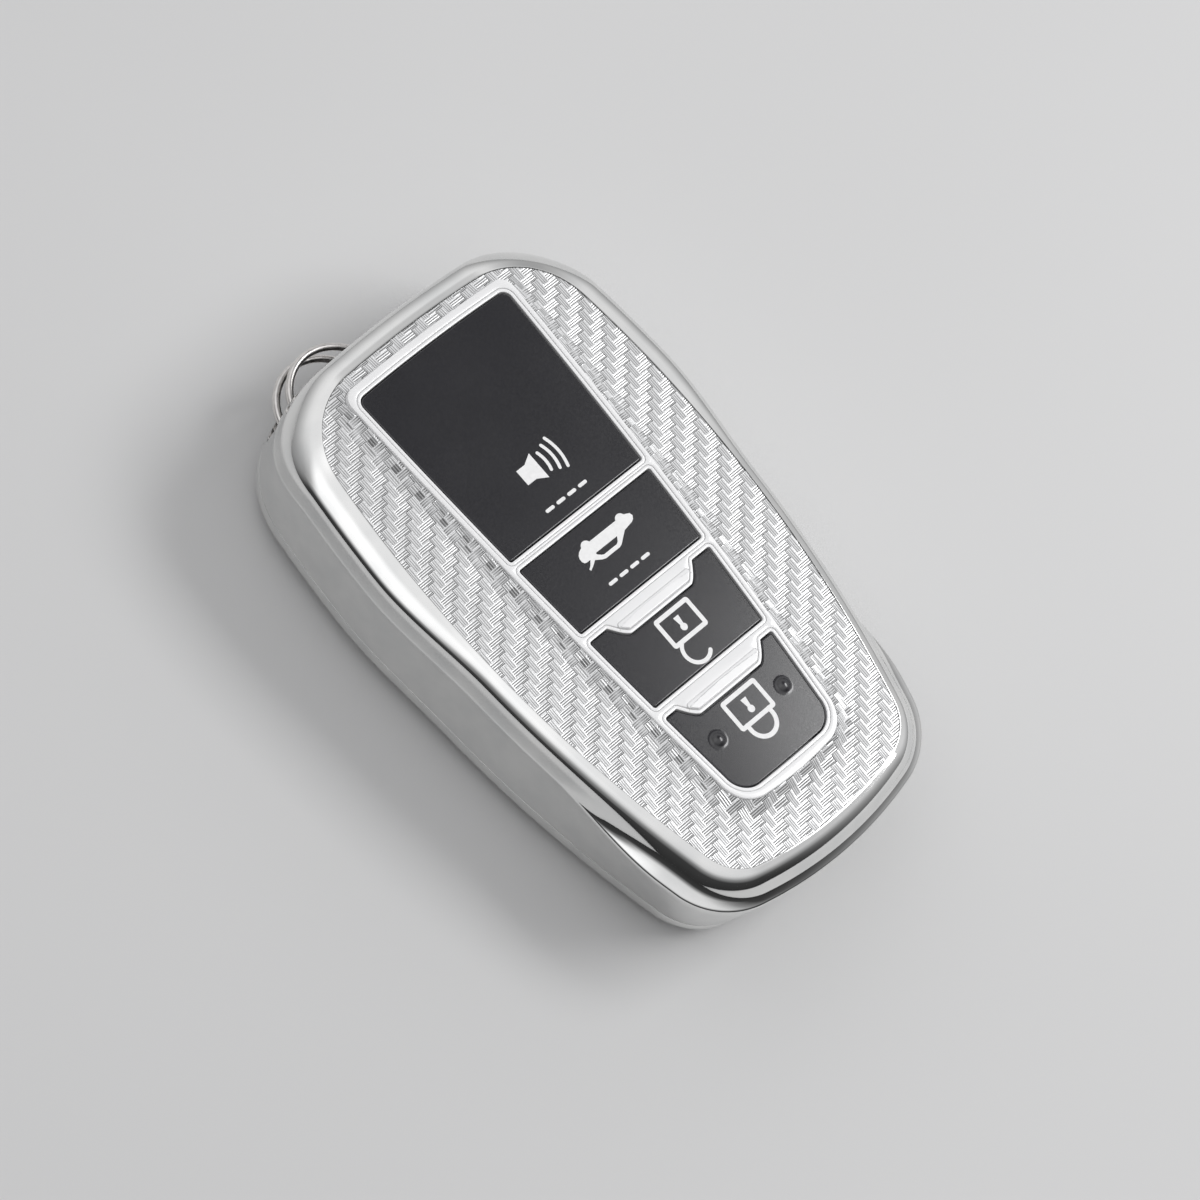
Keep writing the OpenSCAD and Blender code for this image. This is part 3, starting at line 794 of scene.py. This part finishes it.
def float_template(along_x, hatches):
    """One float of the weave: a tile with a bevelled border, fine grooves along it, and its sunken slot,
    which the weave's tone paints dark as a shadow.
    """
    e, length, width = SEAM_W / 2, 2 * CELL, CELL
    u = np.array([e, BORDER, CELL - SLOT_IN, CELL, length - BORDER, length - e])
    field_end = width - SLOT_IN - SLOT_W
    v = np.r_[e, np.linspace(BORDER, field_end, 2 * hatches + 1), field_end + SLOT_EDGE,
              width - SLOT_IN - SLOT_EDGE / 2, width - e]
    z = np.full((len(u), len(v)), TWILL_H)
    z[1:-1, 2:-4:2] -= GROOVE
    z[[0, -1], :] -= SEAM_H
    z[:, [0, -1]] = TWILL_H - SEAM_H
    z[1:3, -3:-1] = TWILL_H - SLOT_H
    uu, vv = np.meshgrid(u, v, indexing="ij")
    x, y = (uu, vv) if along_x else (vv, uu)
    build = Build()
    top = build.add(np.c_[x.ravel(), y.ravel(), z.ravel()]).reshape(uu.shape)
    quads = [top[:-1, :-1], top[1:, :-1], top[1:, 1:], top[:-1, 1:]]
    faces = np.column_stack([corner.ravel() for corner in quads]).tolist()
    rim = np.r_[top[:, 0], top[-1, 1:], top[-2::-1, -1], top[0, -2:0:-1]]
    low = build.add(np.vstack(build.points)[rim] * [1, 1, 0] - [0, 0, SEAM_H])
    faces += np.c_[low, np.roll(low, -1), np.roll(rim, -1), rim].tolist() + [low[::-1].tolist()]
    if not along_x:
        faces = [f[::-1] for f in faces]
    return np.vstack(build.points), faces


def float_place(points):
    """Whether each point lies on a float along X, and its places along and across its float."""
    place = (points[:, :2] - TWILL_PHASE) / CELL
    i, j = np.floor(place).astype(int).T
    turn = (i - j) % 4
    along_x = turn < 2
    fx, fy = (place - np.floor(place)).T * CELL
    along = np.where(along_x, fx + CELL * (turn == 1), fy + CELL * (turn == 2))
    return along_x, along, np.where(along_x, fy, fx)


def twill_tone_and_painted_shade(points, hatches):
    """How light each point of the weave is painted: a painted shadow in the slots, light on the borders, and
    painted shade in the grooves, deeper on floats along X as a painted reflection.
    """
    along_x, u, v = float_place(points)
    field_end = CELL - SLOT_IN - SLOT_W
    in_field = ((np.minimum(u, v) > BORDER - NEAR) & (v < field_end + NEAR)
                & (u < 2 * CELL - BORDER + NEAR))
    wave = 0.5 - 0.5 * np.cos(2 * math.pi * hatches * (v - BORDER) / (field_end - BORDER))
    groove = np.where(along_x, TONES["along_x"], TONES["along_y"])
    tone = TONES["border"] + np.where(in_field, wave * (groove - TONES["border"]), 0)
    in_slot = ((v > field_end + NEAR) & (v < CELL - SLOT_IN)
               & (u > BORDER - NEAR) & (u < CELL - SLOT_IN + NEAR))
    tone = np.where(in_slot, TONES["slot"], tone)
    edge = np.minimum(np.minimum(v, CELL - v), np.minimum(u, 2 * CELL - u))
    return np.where(edge < SEAM_W / 2 + NEAR / 2, TONES["seam"], tone)


def twill_floats(region, hatches):
    """All floats that reach into the region, as one mesh of closed solids."""
    templates = {along_x: float_template(along_x, hatches) for along_x in (True, False)}
    reach = int(PANEL_L / CELL / 2) + 3
    points, faces, count = [], [], 0
    cells = [(i, j) for i in range(-reach, reach) for j in range(-reach, reach) if (i - j) % 4 in (0, 3)]
    places = np.array(cells) * CELL + TWILL_PHASE
    centres = places + CELL
    near = np.logical_xor.reduce([inside(centres, loop) for loop in region])
    for loop in region:
        near |= distance_to(centres, loop) < FLOAT_REACH * CELL
    for k in np.flatnonzero(near):
        shape, its_faces = templates[(cells[k][0] - cells[k][1]) % 4 == 0]
        points.append(shape + np.r_[places[k], 0])
        faces += [[corner + count for corner in face] for face in its_faces]
        count += len(shape)
    return make_mesh("floats", np.vstack(points), faces)


def twill_plate(name, region, thickness, hatches, tone_of):
    """A flat plate over the region with its weave on top, from -thickness up to zero."""
    floats = twill_floats(region, hatches)
    combined(floats, Build().prism(region, -1, 1).mesh("region"), "INTERSECT")
    made = Build().prism(region, TWILL_H - thickness, 0).mesh(name)
    combined(made, floats, "UNION")
    set_tone(made, tone_of)
    move_points(made, lambda p: p - [0, 0, TWILL_H])
    return made


def frame_gap(points):
    """Each point's distance to the frame's outer edge."""
    return distance_to(points[:, :2], frame_edge()[::2])


def panel_lift(points):
    """Height of the front panel above its own edge: it crowns gently and rises towards the frame."""
    edge = distance_to(points[:, :2], outline(0)[::2])
    key_end_share = smooth((WINDOW_START + KEY_END_FROM - points[:, 1]) / KEY_END_RUN)
    rise = PANEL_RISE * mix(1, KEY_END_RISE, key_end_share)
    return PANEL_CROWN * smooth(edge / CROWN_RUN) + rise * (1 - smooth(frame_gap(points) / RISE_BAND))


def front_tone_and_painted_light(points):
    """The weave's tone, painted lighter as painted light where the panel rises beside the frame, with half of
    each float along Y painted dark there as a painted reflection.
    """
    along_x, u, v = float_place(points)
    x, y, _ = points.T
    gap = frame_gap(points)
    start, end = (smooth((gap - at) / BESIDE_FADE) for at in BESIDE_BAND)
    first, last = (smooth((y - at) / BESIDE_END_FADE) for at in (WINDOW_START, SIDE_LAST))
    beside = first * (1 - last)
    steep = beside * start * (1 - end)
    dark = ~along_x & (v > SEAM_W) & (u > CELL - NEAR)
    darker = steep * np.where(x > 0, BESIDE_PAINTED_SHADE[1], BESIDE_PAINTED_SHADE[0])
    tone = twill_tone_and_painted_shade(points, HATCHES)
    return np.where(dark, tone * (1 - darker), mix(tone, 1, steep / 2))


def front_panel():
    region = [outline(-PANEL_GAP), frame_edge(PANEL_GAP)]
    made = twill_plate("front_panel_piece", region, PANEL_T, HATCHES, front_tone_and_painted_light)

    def place(p):
        share = np.clip(1 + p[:, 2] / (PANEL_T * LIFTED_SHARE), 0, 1)
        p[:, 2] += PANEL_Z + share * panel_lift(p)
        return p

    move_points(made, place)
    return made


def rear_panel():
    """The same weave with fewer hatches, turned over about Y to face down."""
    made = twill_plate("rear_panel_piece", [outline(-REAR_INSET - PANEL_GAP)], REAR_T, REAR_HATCHES,
                       lambda p: twill_tone_and_painted_shade(p, REAR_HATCHES))
    move_points(made, lambda p: p * [-1, 1, -1])
    return made


# Button frame

def button_frame():
    """The frame: a rounded band outside, and round each hole a narrow lip set off by a fine groove."""
    build = Build()
    outer = [(0, WEB_Z)] + [(d, FRAME_Z + z) for d, z in EDGE_STEPS]
    ids = build.rings([at_height(frame_edge(d), z) for d, z in outer])
    tops, bottoms = [ids[-1]], [ids[0]]
    for name in SPANS:
        loop = hole_loop(name)
        steps = [(0.0, WEB_Z)] + [(d, FRAME_Z + z) for d, z in LIP_STEPS]
        ring = build.rings([at_height(offset(loop, d), z)[::-1] for d, z in steps])
        tops.append(ring[-1])
        bottoms.append(ring[0])
    build.fill_ends(bottoms, tops)
    made = build.mesh("button_frame_piece")
    for name in TAB_GAPS:
        well = Build().prism([offset(pillow_loop(name), PILLOW_GROOVE)], FRAME_Z - WELL_D, FRAME_Z + CUT_PAST)
        combined(made, well.mesh("well"), "DIFFERENCE")
        combined(made, tab_pillow(name), "UNION")
    set_tone(made, frame_painted_shade)
    return made


def frame_painted_shade(points):
    """Painted shade: darker in the fine groove, down the walls and along the foot of each pillow, where shade
    falls.
    """
    plan, z = points[:, :2], points[:, 2] - FRAME_Z
    low = z < WALL_FROM
    outside = ~inside(plan, frame_edge(EDGE_STEPS[-1][0] - NEAR))
    tone = np.where(low, WALL_PAINTED_SHADE, 1.0)
    tone = np.where(low & (z > GROOVE_TO) & ~outside, GROOVE_PAINTED_SHADE, tone)
    tone = np.where(outside & (z > OUTSIDE_TO), 1.0, tone)
    for name in TAB_GAPS:
        loop = pillow_loop(name)
        foot = (distance_to(plan, loop) < PILLOW_GROOVE + 2 * NEAR) & ~inside(plan, offset(loop, 3 * NEAR))
        tone = np.where(foot & (z < -2 * NEAR) & (z > FOOT_TO), GROOVE_PAINTED_SHADE, tone)
    return tone


def rounded(points, r, steps=8):
    """A closed polygon, given counterclockwise, with its corners rounded off."""
    p = np.asarray(points, float)
    arcs = []
    for before, at, after in zip(np.roll(p, 1, 0), p, np.roll(p, -1, 0)):
        back, on = ((end - at) / np.linalg.norm(end - at) for end in (before, after))
        first, last = bearing(before, at) - 90, bearing(at, after) - 90
        turn = (last - first) % 360
        centre = at + (back + on) / np.linalg.norm(back + on) * r / math.cos(math.radians(turn / 2))
        arcs.append(arc_points(*centre, r, first, first + turn, steps))
    return np.vstack(arcs)


def pillow_loop(name):
    """Outline of the raised pillow on a grip tab, a long rounded shape with sloping ends."""
    low = SPANS[name][0]
    half = window_half(low) - TAB_GAPS[name]
    wide, narrow = half - PILLOW_END, half - TAB_RUN
    return rounded([(-wide, low + PILLOW_ROOT), (wide, low + PILLOW_ROOT), (narrow, low + PILLOW_TOP),
                    (-narrow, low + PILLOW_TOP)], PILLOW_R)


def tab_pillow(name):
    loop = pillow_loop(name)
    build = Build()
    ids = build.rings([at_height(offset(loop, d), FRAME_Z + z) for d, z in PILLOW_STEPS])
    build.fill_ends([ids[0]], [ids[-1]])
    return build.mesh("pillow")


# Buttons

def dome(t):
    """A round top that runs out in a hollow foot."""
    down = (np.clip(t, DOME_TOP, DOME_FOOT) - DOME_TOP) / (DOME_FOOT - DOME_TOP)
    return np.where(t < DOME_TOP, 1 - t * t, (1 - DOME_TOP ** 2) * (1 - down) ** 2)


def pad_height(plan, name):
    """Height of a button's face: slightly crowned, with two blended domes on the lock button."""
    x, y = plan.T
    across = 1 - (x / window_half(np.clip(y, SIDE_FIRST, SIDE_LAST))) ** 2
    z = BUTTON_Z + PAD_CROWN * np.clip(across, 0, 1)
    for centre in DOMES.get(name, ()):
        z = z + DOME_H * dome(np.hypot(*(plan - centre).T) / DOME_R)
    return z


def pad_points(loop, name):
    """Points inside the face: an even grid, and finer rings over the domes."""
    low, high = loop.min(0), loop.max(0)
    x, y = np.meshgrid(np.arange(low[0], high[0], PAD_GRID), np.arange(low[1], high[1], PAD_GRID))
    points = np.c_[x.ravel(), y.ravel()]
    foot = DOME_FOOT * DOME_R
    for centre in DOMES.get(name, ()):
        points = points[np.hypot(*(points - centre).T) > foot + DOME_CLEAR]
        rings = [arc_points(*centre, r, 0, 350, 35)
                 for r in np.arange(DOME_GRID, foot + DOME_CLEAR / 2, DOME_GRID)]
        points = np.vstack([points, centre[None], *rings])
    return points[inside(points, loop) & (distance_to(points, loop) > PAD_GRID / 2)]


def nub_circle(name, r):
    """A circle round the middle of a button."""
    return circle(0, sum(SPANS[name]) / 2, r, 40)


def button(name):
    edge = offset(hole_loop(name, HOLE_R + PAD_CORNER_EXTRA), -BUTTON_GAP)
    flange = offset(hole_loop(name), FLANGE_W - BUTTON_GAP)
    plan = {d: offset(edge, -d) for d in PAD_DROPS}
    nub = [(NUB_D / 2 - NUB_BEVEL, NUB_Z), (NUB_D / 2, NUB_Z + NUB_BEVEL), (NUB_D / 2, FLANGE_Z)]
    build = Build()
    stem = build.rings([at_height(nub_circle(name, r), z) for r, z in nub])
    build.faces.append(list(stem[0][::-1]))
    shelf = FLANGE_Z + FLANGE_T
    body = build.rings([at_height(flange, FLANGE_Z), at_height(flange, shelf)])
    rise = build.rings([at_height(edge, shelf)]
                       + [at_height(plan[d], pad_height(plan[d], name) - drop)
                          for d, drop in PAD_DROPS.items()])
    build.fill([body[0], stem[-1]], False)
    build.fill([body[1], rise[0]], True)
    inner = pad_points(plan[PAD_EDGE], name)
    build.fill([rise[-1]], True, inner, pad_height(inner, name))
    return build.mesh(name + "_button_piece")


# Printed marks on the buttons

MARK_T = 0.03
MARKS_X = 0.115
STROKE = 0.5
DASH_W, DASH_SHARE = 0.42, 0.52


def stroke(points, width, steps=6):
    """The outline of a line with round ends."""
    p = np.asarray(points, float)
    d = np.gradient(p, axis=0)
    d /= np.linalg.norm(d, axis=1, keepdims=True)
    n = np.c_[d[:, 1], -d[:, 0]] * width / 2
    t = np.radians(np.linspace(-90, 90, steps + 1))[1:-1]

    def end(at, ahead):
        side = np.array([ahead[1], -ahead[0]])
        return [at + width / 2 * (np.cos(a) * ahead - np.sin(a) * side) for a in t]

    return np.vstack([p + n, end(p[-1], d[-1]), (p - n)[::-1], end(p[0], -d[0])])


def keyhole(x, y, r=0.45, drop=1.45, half=0.41):
    """A round hole with a flared stem below it."""
    top = arc_points(x, y, r, -58, 238, 20)
    return np.vstack([top, [[x - half, y - drop], [x + half, y - drop]]])


def padlock(x0, y0, x1, y1, hole):
    """The body of a padlock: a frame with a keyhole in it."""
    t = STROKE + 0.04
    return [round_box(x0, y0, x1, y1, 0.4), round_box(x0 + t, y0 + t, x1 - t, y1 - t, 0.06), keyhole(*hole)]


def dashes(y, x=-0.3, reach=3.5, count=4):
    """A row of short dashes, which stands for any wording."""
    step = 2 * reach / count
    length = step * DASH_SHARE
    middles = [x - reach + step * (k + 0.5) for k in range(count)]
    return [[stroke([[at - length / 2, y], [at + length / 2, y]], DASH_W)] for at in middles]


def bowed(x, y, half, sag):
    """Points along a bowed upright line, with its middle out to -X."""
    t = np.linspace(-1, 1, 17)
    return np.c_[x + sag * t * t, y + half * t]


def speaker():
    y = -14.65
    body = np.array([[-0.28, y - 1.75], [1.1, y - 1.02], [2.45, y - 1.02], [2.45, y + 1.02], [1.1, y + 1.02],
                     [-0.28, y + 1.75]])
    waves = [[stroke(bowed(x, y, half, sag), 0.4)] for x, half, sag in
             ((-1.32, 1.2, 0.2), (-2.42, 1.62, 0.3), (-3.42, 2.0, 0.36))]
    return [[body]] + waves + dashes(-10.07)


def car():
    """A car seen from the side with its boot open."""
    wheels = ((-3.65, -4.32), (1.95, -4.32))
    r = 0.7
    under = [arc_points(cx, cy, r, 200, 340, 12) for cx, cy in wheels]
    body = np.vstack([[[-5.0, -4.25]], under[0], under[1],
                      [[3.15, -4.33], [3.5, -4.05], [3.68, -3.7], [3.7, -3.3], [3.55, -3.0], [3.3, -2.91],
                       [2.7, -2.9], [3.2, -2.38], [3.62, -2.12], [3.52, -1.9], [2.95, -2.16], [2.28, -2.56],
                       [1.5, -2.1], [1.05, -1.95], [-1.2, -1.95], [-1.6, -2.08], [-3.1, -3.1], [-4.5, -3.32],
                       [-4.85, -3.5], [-5.12, -3.85]]])
    glass = np.array([[-1.86, -3.12], [1.64, -3.12], [1.6, -2.9], [1.2, -2.56], [0.95, -2.43], [-1.15, -2.43],
                      [-1.45, -2.58]])
    return [[body, glass]] + dashes(0.57)


def open_lock():
    body = padlock(-3.52, 6.8, 1.98, 10.78, (-0.77, 9.33))
    shackle = stroke(arc_points(-0.16, 12.0, 1.7, -50, 138, 30), STROKE)
    return [body[:2], [body[2]], [shackle]]


def closed_lock():
    body = padlock(-3.25, 18.44, 2.34, 22.5, (-0.46, 21.02))
    x, r = -0.43, 1.78
    bow = np.vstack([[[x + r, 22.2]], arc_points(x, 22.83, r, 0, 180, 30), [[x - r, 22.2]]])
    return [body[:2], [body[2]], [stroke(bow, STROKE + 0.06)]]


def marks(name, shapes):
    """Thin printed shapes that lie on a button's face."""
    build = Build()
    for loops in shapes:
        build.prism(loops, 0, MARK_T)
    made = build.mesh(name + "_marks")

    def place(p):
        p[:, 0] += MARKS_X
        p[:, 2] += pad_height(p[:, :2], name) - MARK_T / 3
        return p

    move_points(made, place)
    return made


# Mat, post and ring

def button_mat():
    """The silicone sheet: a raised rim round the buttons, a thin sheet and a hole for each nub."""
    rim_out, rim_in = offset(WINDOW, MAT_W), offset(WINDOW, FRAME_W)
    build = Build()
    steps = [(-MAT_BEVEL, MAT_Z), (0, MAT_Z + MAT_BEVEL), (0, INNER_Z - MAT_BEVEL), (-MAT_BEVEL, INNER_Z)]
    out = build.rings([at_height(offset(rim_out, d), z) for d, z in steps])
    well = build.rings([at_height(rim_in, MAT_TOP)[::-1], at_height(rim_in, INNER_Z)[::-1]])
    build.fill([out[-1], well[-1]], True)
    tops, bottoms = [well[0]], [out[0]]
    for name in SPANS:
        hole = nub_circle(name, NUB_D / 2 + NUB_GAP)[::-1]
        ring = build.rings([at_height(hole, MAT_Z), at_height(hole, MAT_TOP)])
        tops.append(ring[-1])
        bottoms.append(ring[0])
    build.fill_ends(bottoms, tops)
    return build.mesh("button_mat_piece")


def ring_post():
    return cylinder("ring_post_piece", POST_X, POST_Y, FLOOR_T, MAT_Z - POST_HEAD_GAP, POST_D, POST_BEVEL, 64)


def split_ring(steps=96, sides=24):
    """Two full turns of round wire that climb evenly, with slightly rounded ends."""
    z0 = RING_SEAT + RING_GAP + WIRE_D / 2
    r = (RING_D - WIRE_D) / 2
    k = np.linspace(0, RING_TURNS, RING_TURNS * steps + 1)
    t = np.radians(RING_START + 360 * k)
    line = np.c_[POST_X + r * np.cos(t) + RING_SPLAY * (RING_TURNS / 2 - k), RING_Y + r * np.sin(t),
                 z0 + RING_PITCH * k]
    build = Build()
    width = np.full(len(k), WIRE_D / 2)
    width[[0, -1]] *= WIRE_END_SHARE
    rings = []
    for p, angle, w in zip(line, t, width):
        out = np.array([math.cos(angle), math.sin(angle), 0])
        rings.append(p + w * (circle(0, 0, 1, sides) @ [out, [0, 0, 1]]))
    build.caps(build.rings([ring[::-1] for ring in rings]))
    return build.mesh("split_ring_piece")


# Materials. A noise is given as its scale for each metre, its detail and its roughness. A tint is a noise
# and two colours, rough a noise and two roughnesses, and bump a noise, a strength and a distance in metres.

TINT_SPAN, ROUGH_SPAN = (0.35, 0.65), (0.3, 0.7)
FINISHES = {
    # Plated plastic: a mirror with the faint waviness and haze of real plating
    "chrome": dict(
        colour=(0.80, 0.80, 0.79), metallic=1.0, roughness=0.05,
        tint=((260, 4), (0.77, 0.775, 0.77), (0.83, 0.83, 0.82)),
        rough=((260, 4), 0.035, 0.085), bump=((90, 1), 0.05, 0.0006)),
    # Silver film: its weave's tone, with its painted shade, light and reflection, comes with the mesh, over a
    # faint cloud of its own
    "silver_twill": dict(
        colour=(0.965, 0.97, 0.975), metallic=0.42, roughness=0.28,
        tint=((300, 3), (0.95, 0.955, 0.96), (0.98, 0.985, 0.99)),
        rough=((900, 3), 0.26, 0.36), bump=((5000, 2), 0.04, 0.00003), toned=True),
    # A bright silver-white finish, smooth, with a faint pearl cloud and grooves painted darker as painted
    # shade
    "bright_frame": dict(
        colour=(0.95, 0.95, 0.953), metallic=0.05, roughness=0.22,
        tint=((220, 2), (0.94, 0.94, 0.945), (0.96, 0.96, 0.963)),
        rough=((220, 2), 0.19, 0.25), bump=((1500, 1), 0.02, 0.00003), toned=True),
    # Charcoal lacquered silicone: a dark smooth gloss with a very fine grain
    "charcoal_satin": dict(
        colour=(0.022, 0.0215, 0.0255), roughness=0.2, ior=1.7,
        tint=((120, 2), (0.017, 0.0168, 0.0205), (0.021, 0.0208, 0.0245)),
        rough=((3500, 4, 0.6), 0.18, 0.24), bump=((3500, 4, 0.6), 0.04, 0.00002)),
    "white_print": dict(
        colour=(0.86, 0.86, 0.86), roughness=0.5,
        tint=((2200, 3), (0.88, 0.88, 0.88), (0.94, 0.94, 0.94)), bump=((2200, 3), 0.1, 0.00003)),
    "grey_silicone": dict(
        colour=(0.15, 0.15, 0.16), roughness=0.55,
        tint=((700, 3), (0.14, 0.14, 0.15), (0.17, 0.17, 0.18)), bump=((4000, 3), 0.15, 0.00004)),
    # Nickel-plated wire with fine marks
    "nickel_steel": dict(
        colour=(0.76, 0.74, 0.72), metallic=1.0, roughness=0.32,
        tint=((1500, 4), (0.70, 0.68, 0.66), (0.82, 0.80, 0.78)),
        rough=((1500, 4), 0.27, 0.4), bump=((5000, 2), 0.1, 0.00005)),
    "floor": dict(
        colour=(0.66, 0.66, 0.66), roughness=0.9,
        tint=((6, 2), (0.65, 0.65, 0.65), (0.67, 0.67, 0.67))),
}


def set_inputs(tree, node, inputs):
    """Sets a node's inputs to values, or links them to other nodes' outputs."""
    for name, value in inputs.items():
        if isinstance(value, bpy.types.NodeSocket):
            tree.links.new(value, node.inputs[name])
        else:
            node.inputs[name].default_value = value


def added(tree, kind, inputs, **settings):
    """A new node with its settings and inputs."""
    made = tree.nodes.new("ShaderNode" + kind)
    for name, value in settings.items():
        setattr(made, name, value)
    set_inputs(tree, made, inputs)
    return made


def noise(tree, scale, detail, roughness=0.5):
    """Noise in the object's own space."""
    place = added(tree, "TexCoord", {}).outputs["Object"]
    inputs = {"Vector": place, "Scale": scale, "Detail": detail, "Roughness": roughness}
    return added(tree, "TexNoise", inputs).outputs["Fac"]


def mapped(tree, value, span, low, high, how="LINEAR"):
    """The value mapped from a span to the range from low to high."""
    inputs = {"Value": value, "From Min": span[0], "From Max": span[1], "To Min": low, "To Max": high}
    return added(tree, "MapRange", inputs, interpolation_type=how).outputs["Result"]


def ramp(tree, value, stops):
    """A colour along a value, from stops of position and colour."""
    made = added(tree, "ValToRGB", {"Fac": value})
    elements = made.color_ramp.elements
    elements[0].position, elements[1].position = stops[0][0], stops[-1][0]
    for position, _ in stops[1:-1]:
        elements.new(position)
    for element, (_, colour) in zip(elements, stops):
        element.color = (*colour, 1)
    return made.outputs["Color"]


def finish(name, colour, roughness, tint, metallic=0.0, rough=None, bump=None, toned=False, ior=None):
    """A material from its row above. If it is toned, its colour is multiplied by the mesh's own tone, which
    carries painted light and shade.
    """
    material = bpy.data.materials.new(name)
    material.use_nodes = True
    tree = material.node_tree
    inputs = {"Base Color": (*colour, 1), "Metallic": metallic, "Roughness": roughness}
    if ior:
        inputs["IOR"] = ior
    shader = tree.nodes["Principled BSDF"]
    set_inputs(tree, shader, inputs)
    cloud, *colours = tint
    base = ramp(tree, noise(tree, *cloud), list(zip(TINT_SPAN, colours)))
    if toned:
        tone = added(tree, "Attribute", {}, attribute_name="tone").outputs["Color"]
        base = added(tree, "Mix", {"Factor": 1.0, "A": base, "B": tone}, data_type="RGBA",
                     blend_type="MULTIPLY").outputs["Result"]
    links = {"Base Color": base}
    if rough:
        links["Roughness"] = mapped(tree, noise(tree, *rough[0]), ROUGH_SPAN, *rough[1:])
    if bump:
        relief = {"Height": noise(tree, *bump[0]), "Strength": bump[1], "Distance": bump[2]}
        links["Normal"] = added(tree, "Bump", relief).outputs["Normal"]
    set_inputs(tree, shader, links)
    return material


# Stage

def floor(material):
    half = FLOOR_HALF
    made = make_mesh("floor", [(-half, -half, 0), (half, -half, 0), (half, half, 0), (-half, half, 0)],
                     [[0, 1, 2, 3]])
    made.data.materials.append(material)


def placed(data, place, axes):
    """A lamp or camera at a place in millimetres, turned to three axes."""
    made = linked(data.name, data)
    made.matrix_world = Matrix.Translation(Vector(place) * MM) @ Matrix(axes).transposed().to_4x4()
    return made


def key_light():
    """A soft box with its first side across and its second side along Y as far as its aim allows."""
    data = bpy.data.lights.new("key_light", "AREA")
    data.shape = "RECTANGLE"
    data.size, data.size_y = LIGHT_SIZE[0] * MM, LIGHT_SIZE[1] * MM
    data.energy = LIGHT_POWER
    back = (Vector(LIGHT_PLACE) - Vector(LIGHT_AIM)).normalized()
    across = Vector((0, 1, 0)).cross(back).normalized()
    placed(data, LIGHT_PLACE, (across, back.cross(across), back))


def towards(tree, direction, way, span, low, high):
    """A factor by how near a direction of the surround is to a given one."""
    inputs = {0: direction, 1: Vector(way).normalized()}
    nearness = added(tree, "VectorMath", inputs, operation="DOT_PRODUCT").outputs["Value"]
    return mapped(tree, nearness, span, low, high, "SMOOTHSTEP")


def world():
    """A soft surround: light overhead and dark low down on the lock side. It is dimmer where the buttons
    mirror it, and glows beside that."""
    made = bpy.data.worlds.new("studio")
    bpy.context.scene.world = made
    made.use_nodes = True
    tree = made.node_tree
    place = added(tree, "TexCoord", {}).outputs["Generated"]
    height = added(tree, "SeparateXYZ", {"Vector": place}).outputs["Z"]
    dark, light = (ramp(tree, height, [(at, (grey, grey, grey * COOL)) for at, grey in stops])
                   for stops in (DARK_SIDE, LIGHT_SIDE))
    sides = {"Factor": towards(tree, place, *TO_LIGHT), "A": dark, "B": light}
    levels = {0: towards(tree, place, *TO_DIM), 1: towards(tree, place, *TO_GLOW)}
    set_inputs(tree, tree.nodes["Background"], {
        "Color": added(tree, "Mix", sides, data_type="RGBA").outputs["Result"],
        "Strength": added(tree, "Math", levels, operation="MULTIPLY").outputs["Value"]})


def camera():
    """The photograph's camera: its place, direction and roll, with no shift."""
    a, e, r = (math.radians(v) for v in (CAMERA_AZIMUTH, CAMERA_ELEVATION, CAMERA_ROLL))
    back = Vector((math.sin(a) * math.cos(e), -math.cos(a) * math.cos(e), math.sin(e)))
    right = (-back).cross(Vector((0, 0, 1))).normalized()
    up = right.cross(-back)
    across = math.cos(r) * right - math.sin(r) * up
    upward = math.sin(r) * right + math.cos(r) * up
    data = bpy.data.cameras.new("camera")
    data.lens = CAMERA_LENS
    data.sensor_width = CAMERA_SENSOR
    data.clip_start, data.clip_end = CAMERA_CLIP
    bpy.context.scene.camera = placed(data, CAMERA_PLACE, (across, upward, back))


def corners(bounds):
    return [list(corner) for corner in bounds]


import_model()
bpy.context.scene.view_settings.view_transform = "Standard"

MATERIALS = {name: finish(name, **row) for name, row in FINISHES.items()}

PRINTS = {"panic": speaker(), "trunk": car(), "unlock": open_lock(), "lock": closed_lock()}

# Each piece with its body, material slot, finish and the least angle of a sharp edge
for made, body, slot, material, sharp in [
        (front_shell(), "cover", "chrome_shell", "chrome", 32),
        (rear_shell(), "rear", "chrome_shell", "chrome", 32),
        (front_panel(), "cover", "twill_panel", "silver_twill", 8),
        (rear_panel(), "rear", "twill_panel", "silver_twill", 8),
        (button_frame(), "cover", "frame", "bright_frame", 40),
        *((button(name), name, "button", "charcoal_satin", 45) for name in SPANS),
        *((marks(name, shapes), name, "frame", "white_print", 40) for name, shapes in PRINTS.items()),
        (button_mat(), "cover", "mat", "grey_silicone", 32),
        (ring_post(), "rear", "steel", "nickel_steel", 32),
        (split_ring(), "ring", "steel", "nickel_steel", 50)]:
    finish_piece(made, body, MATERIALS[material], sharp)

floor(MATERIALS["floor"])
key_light()
world()
camera()
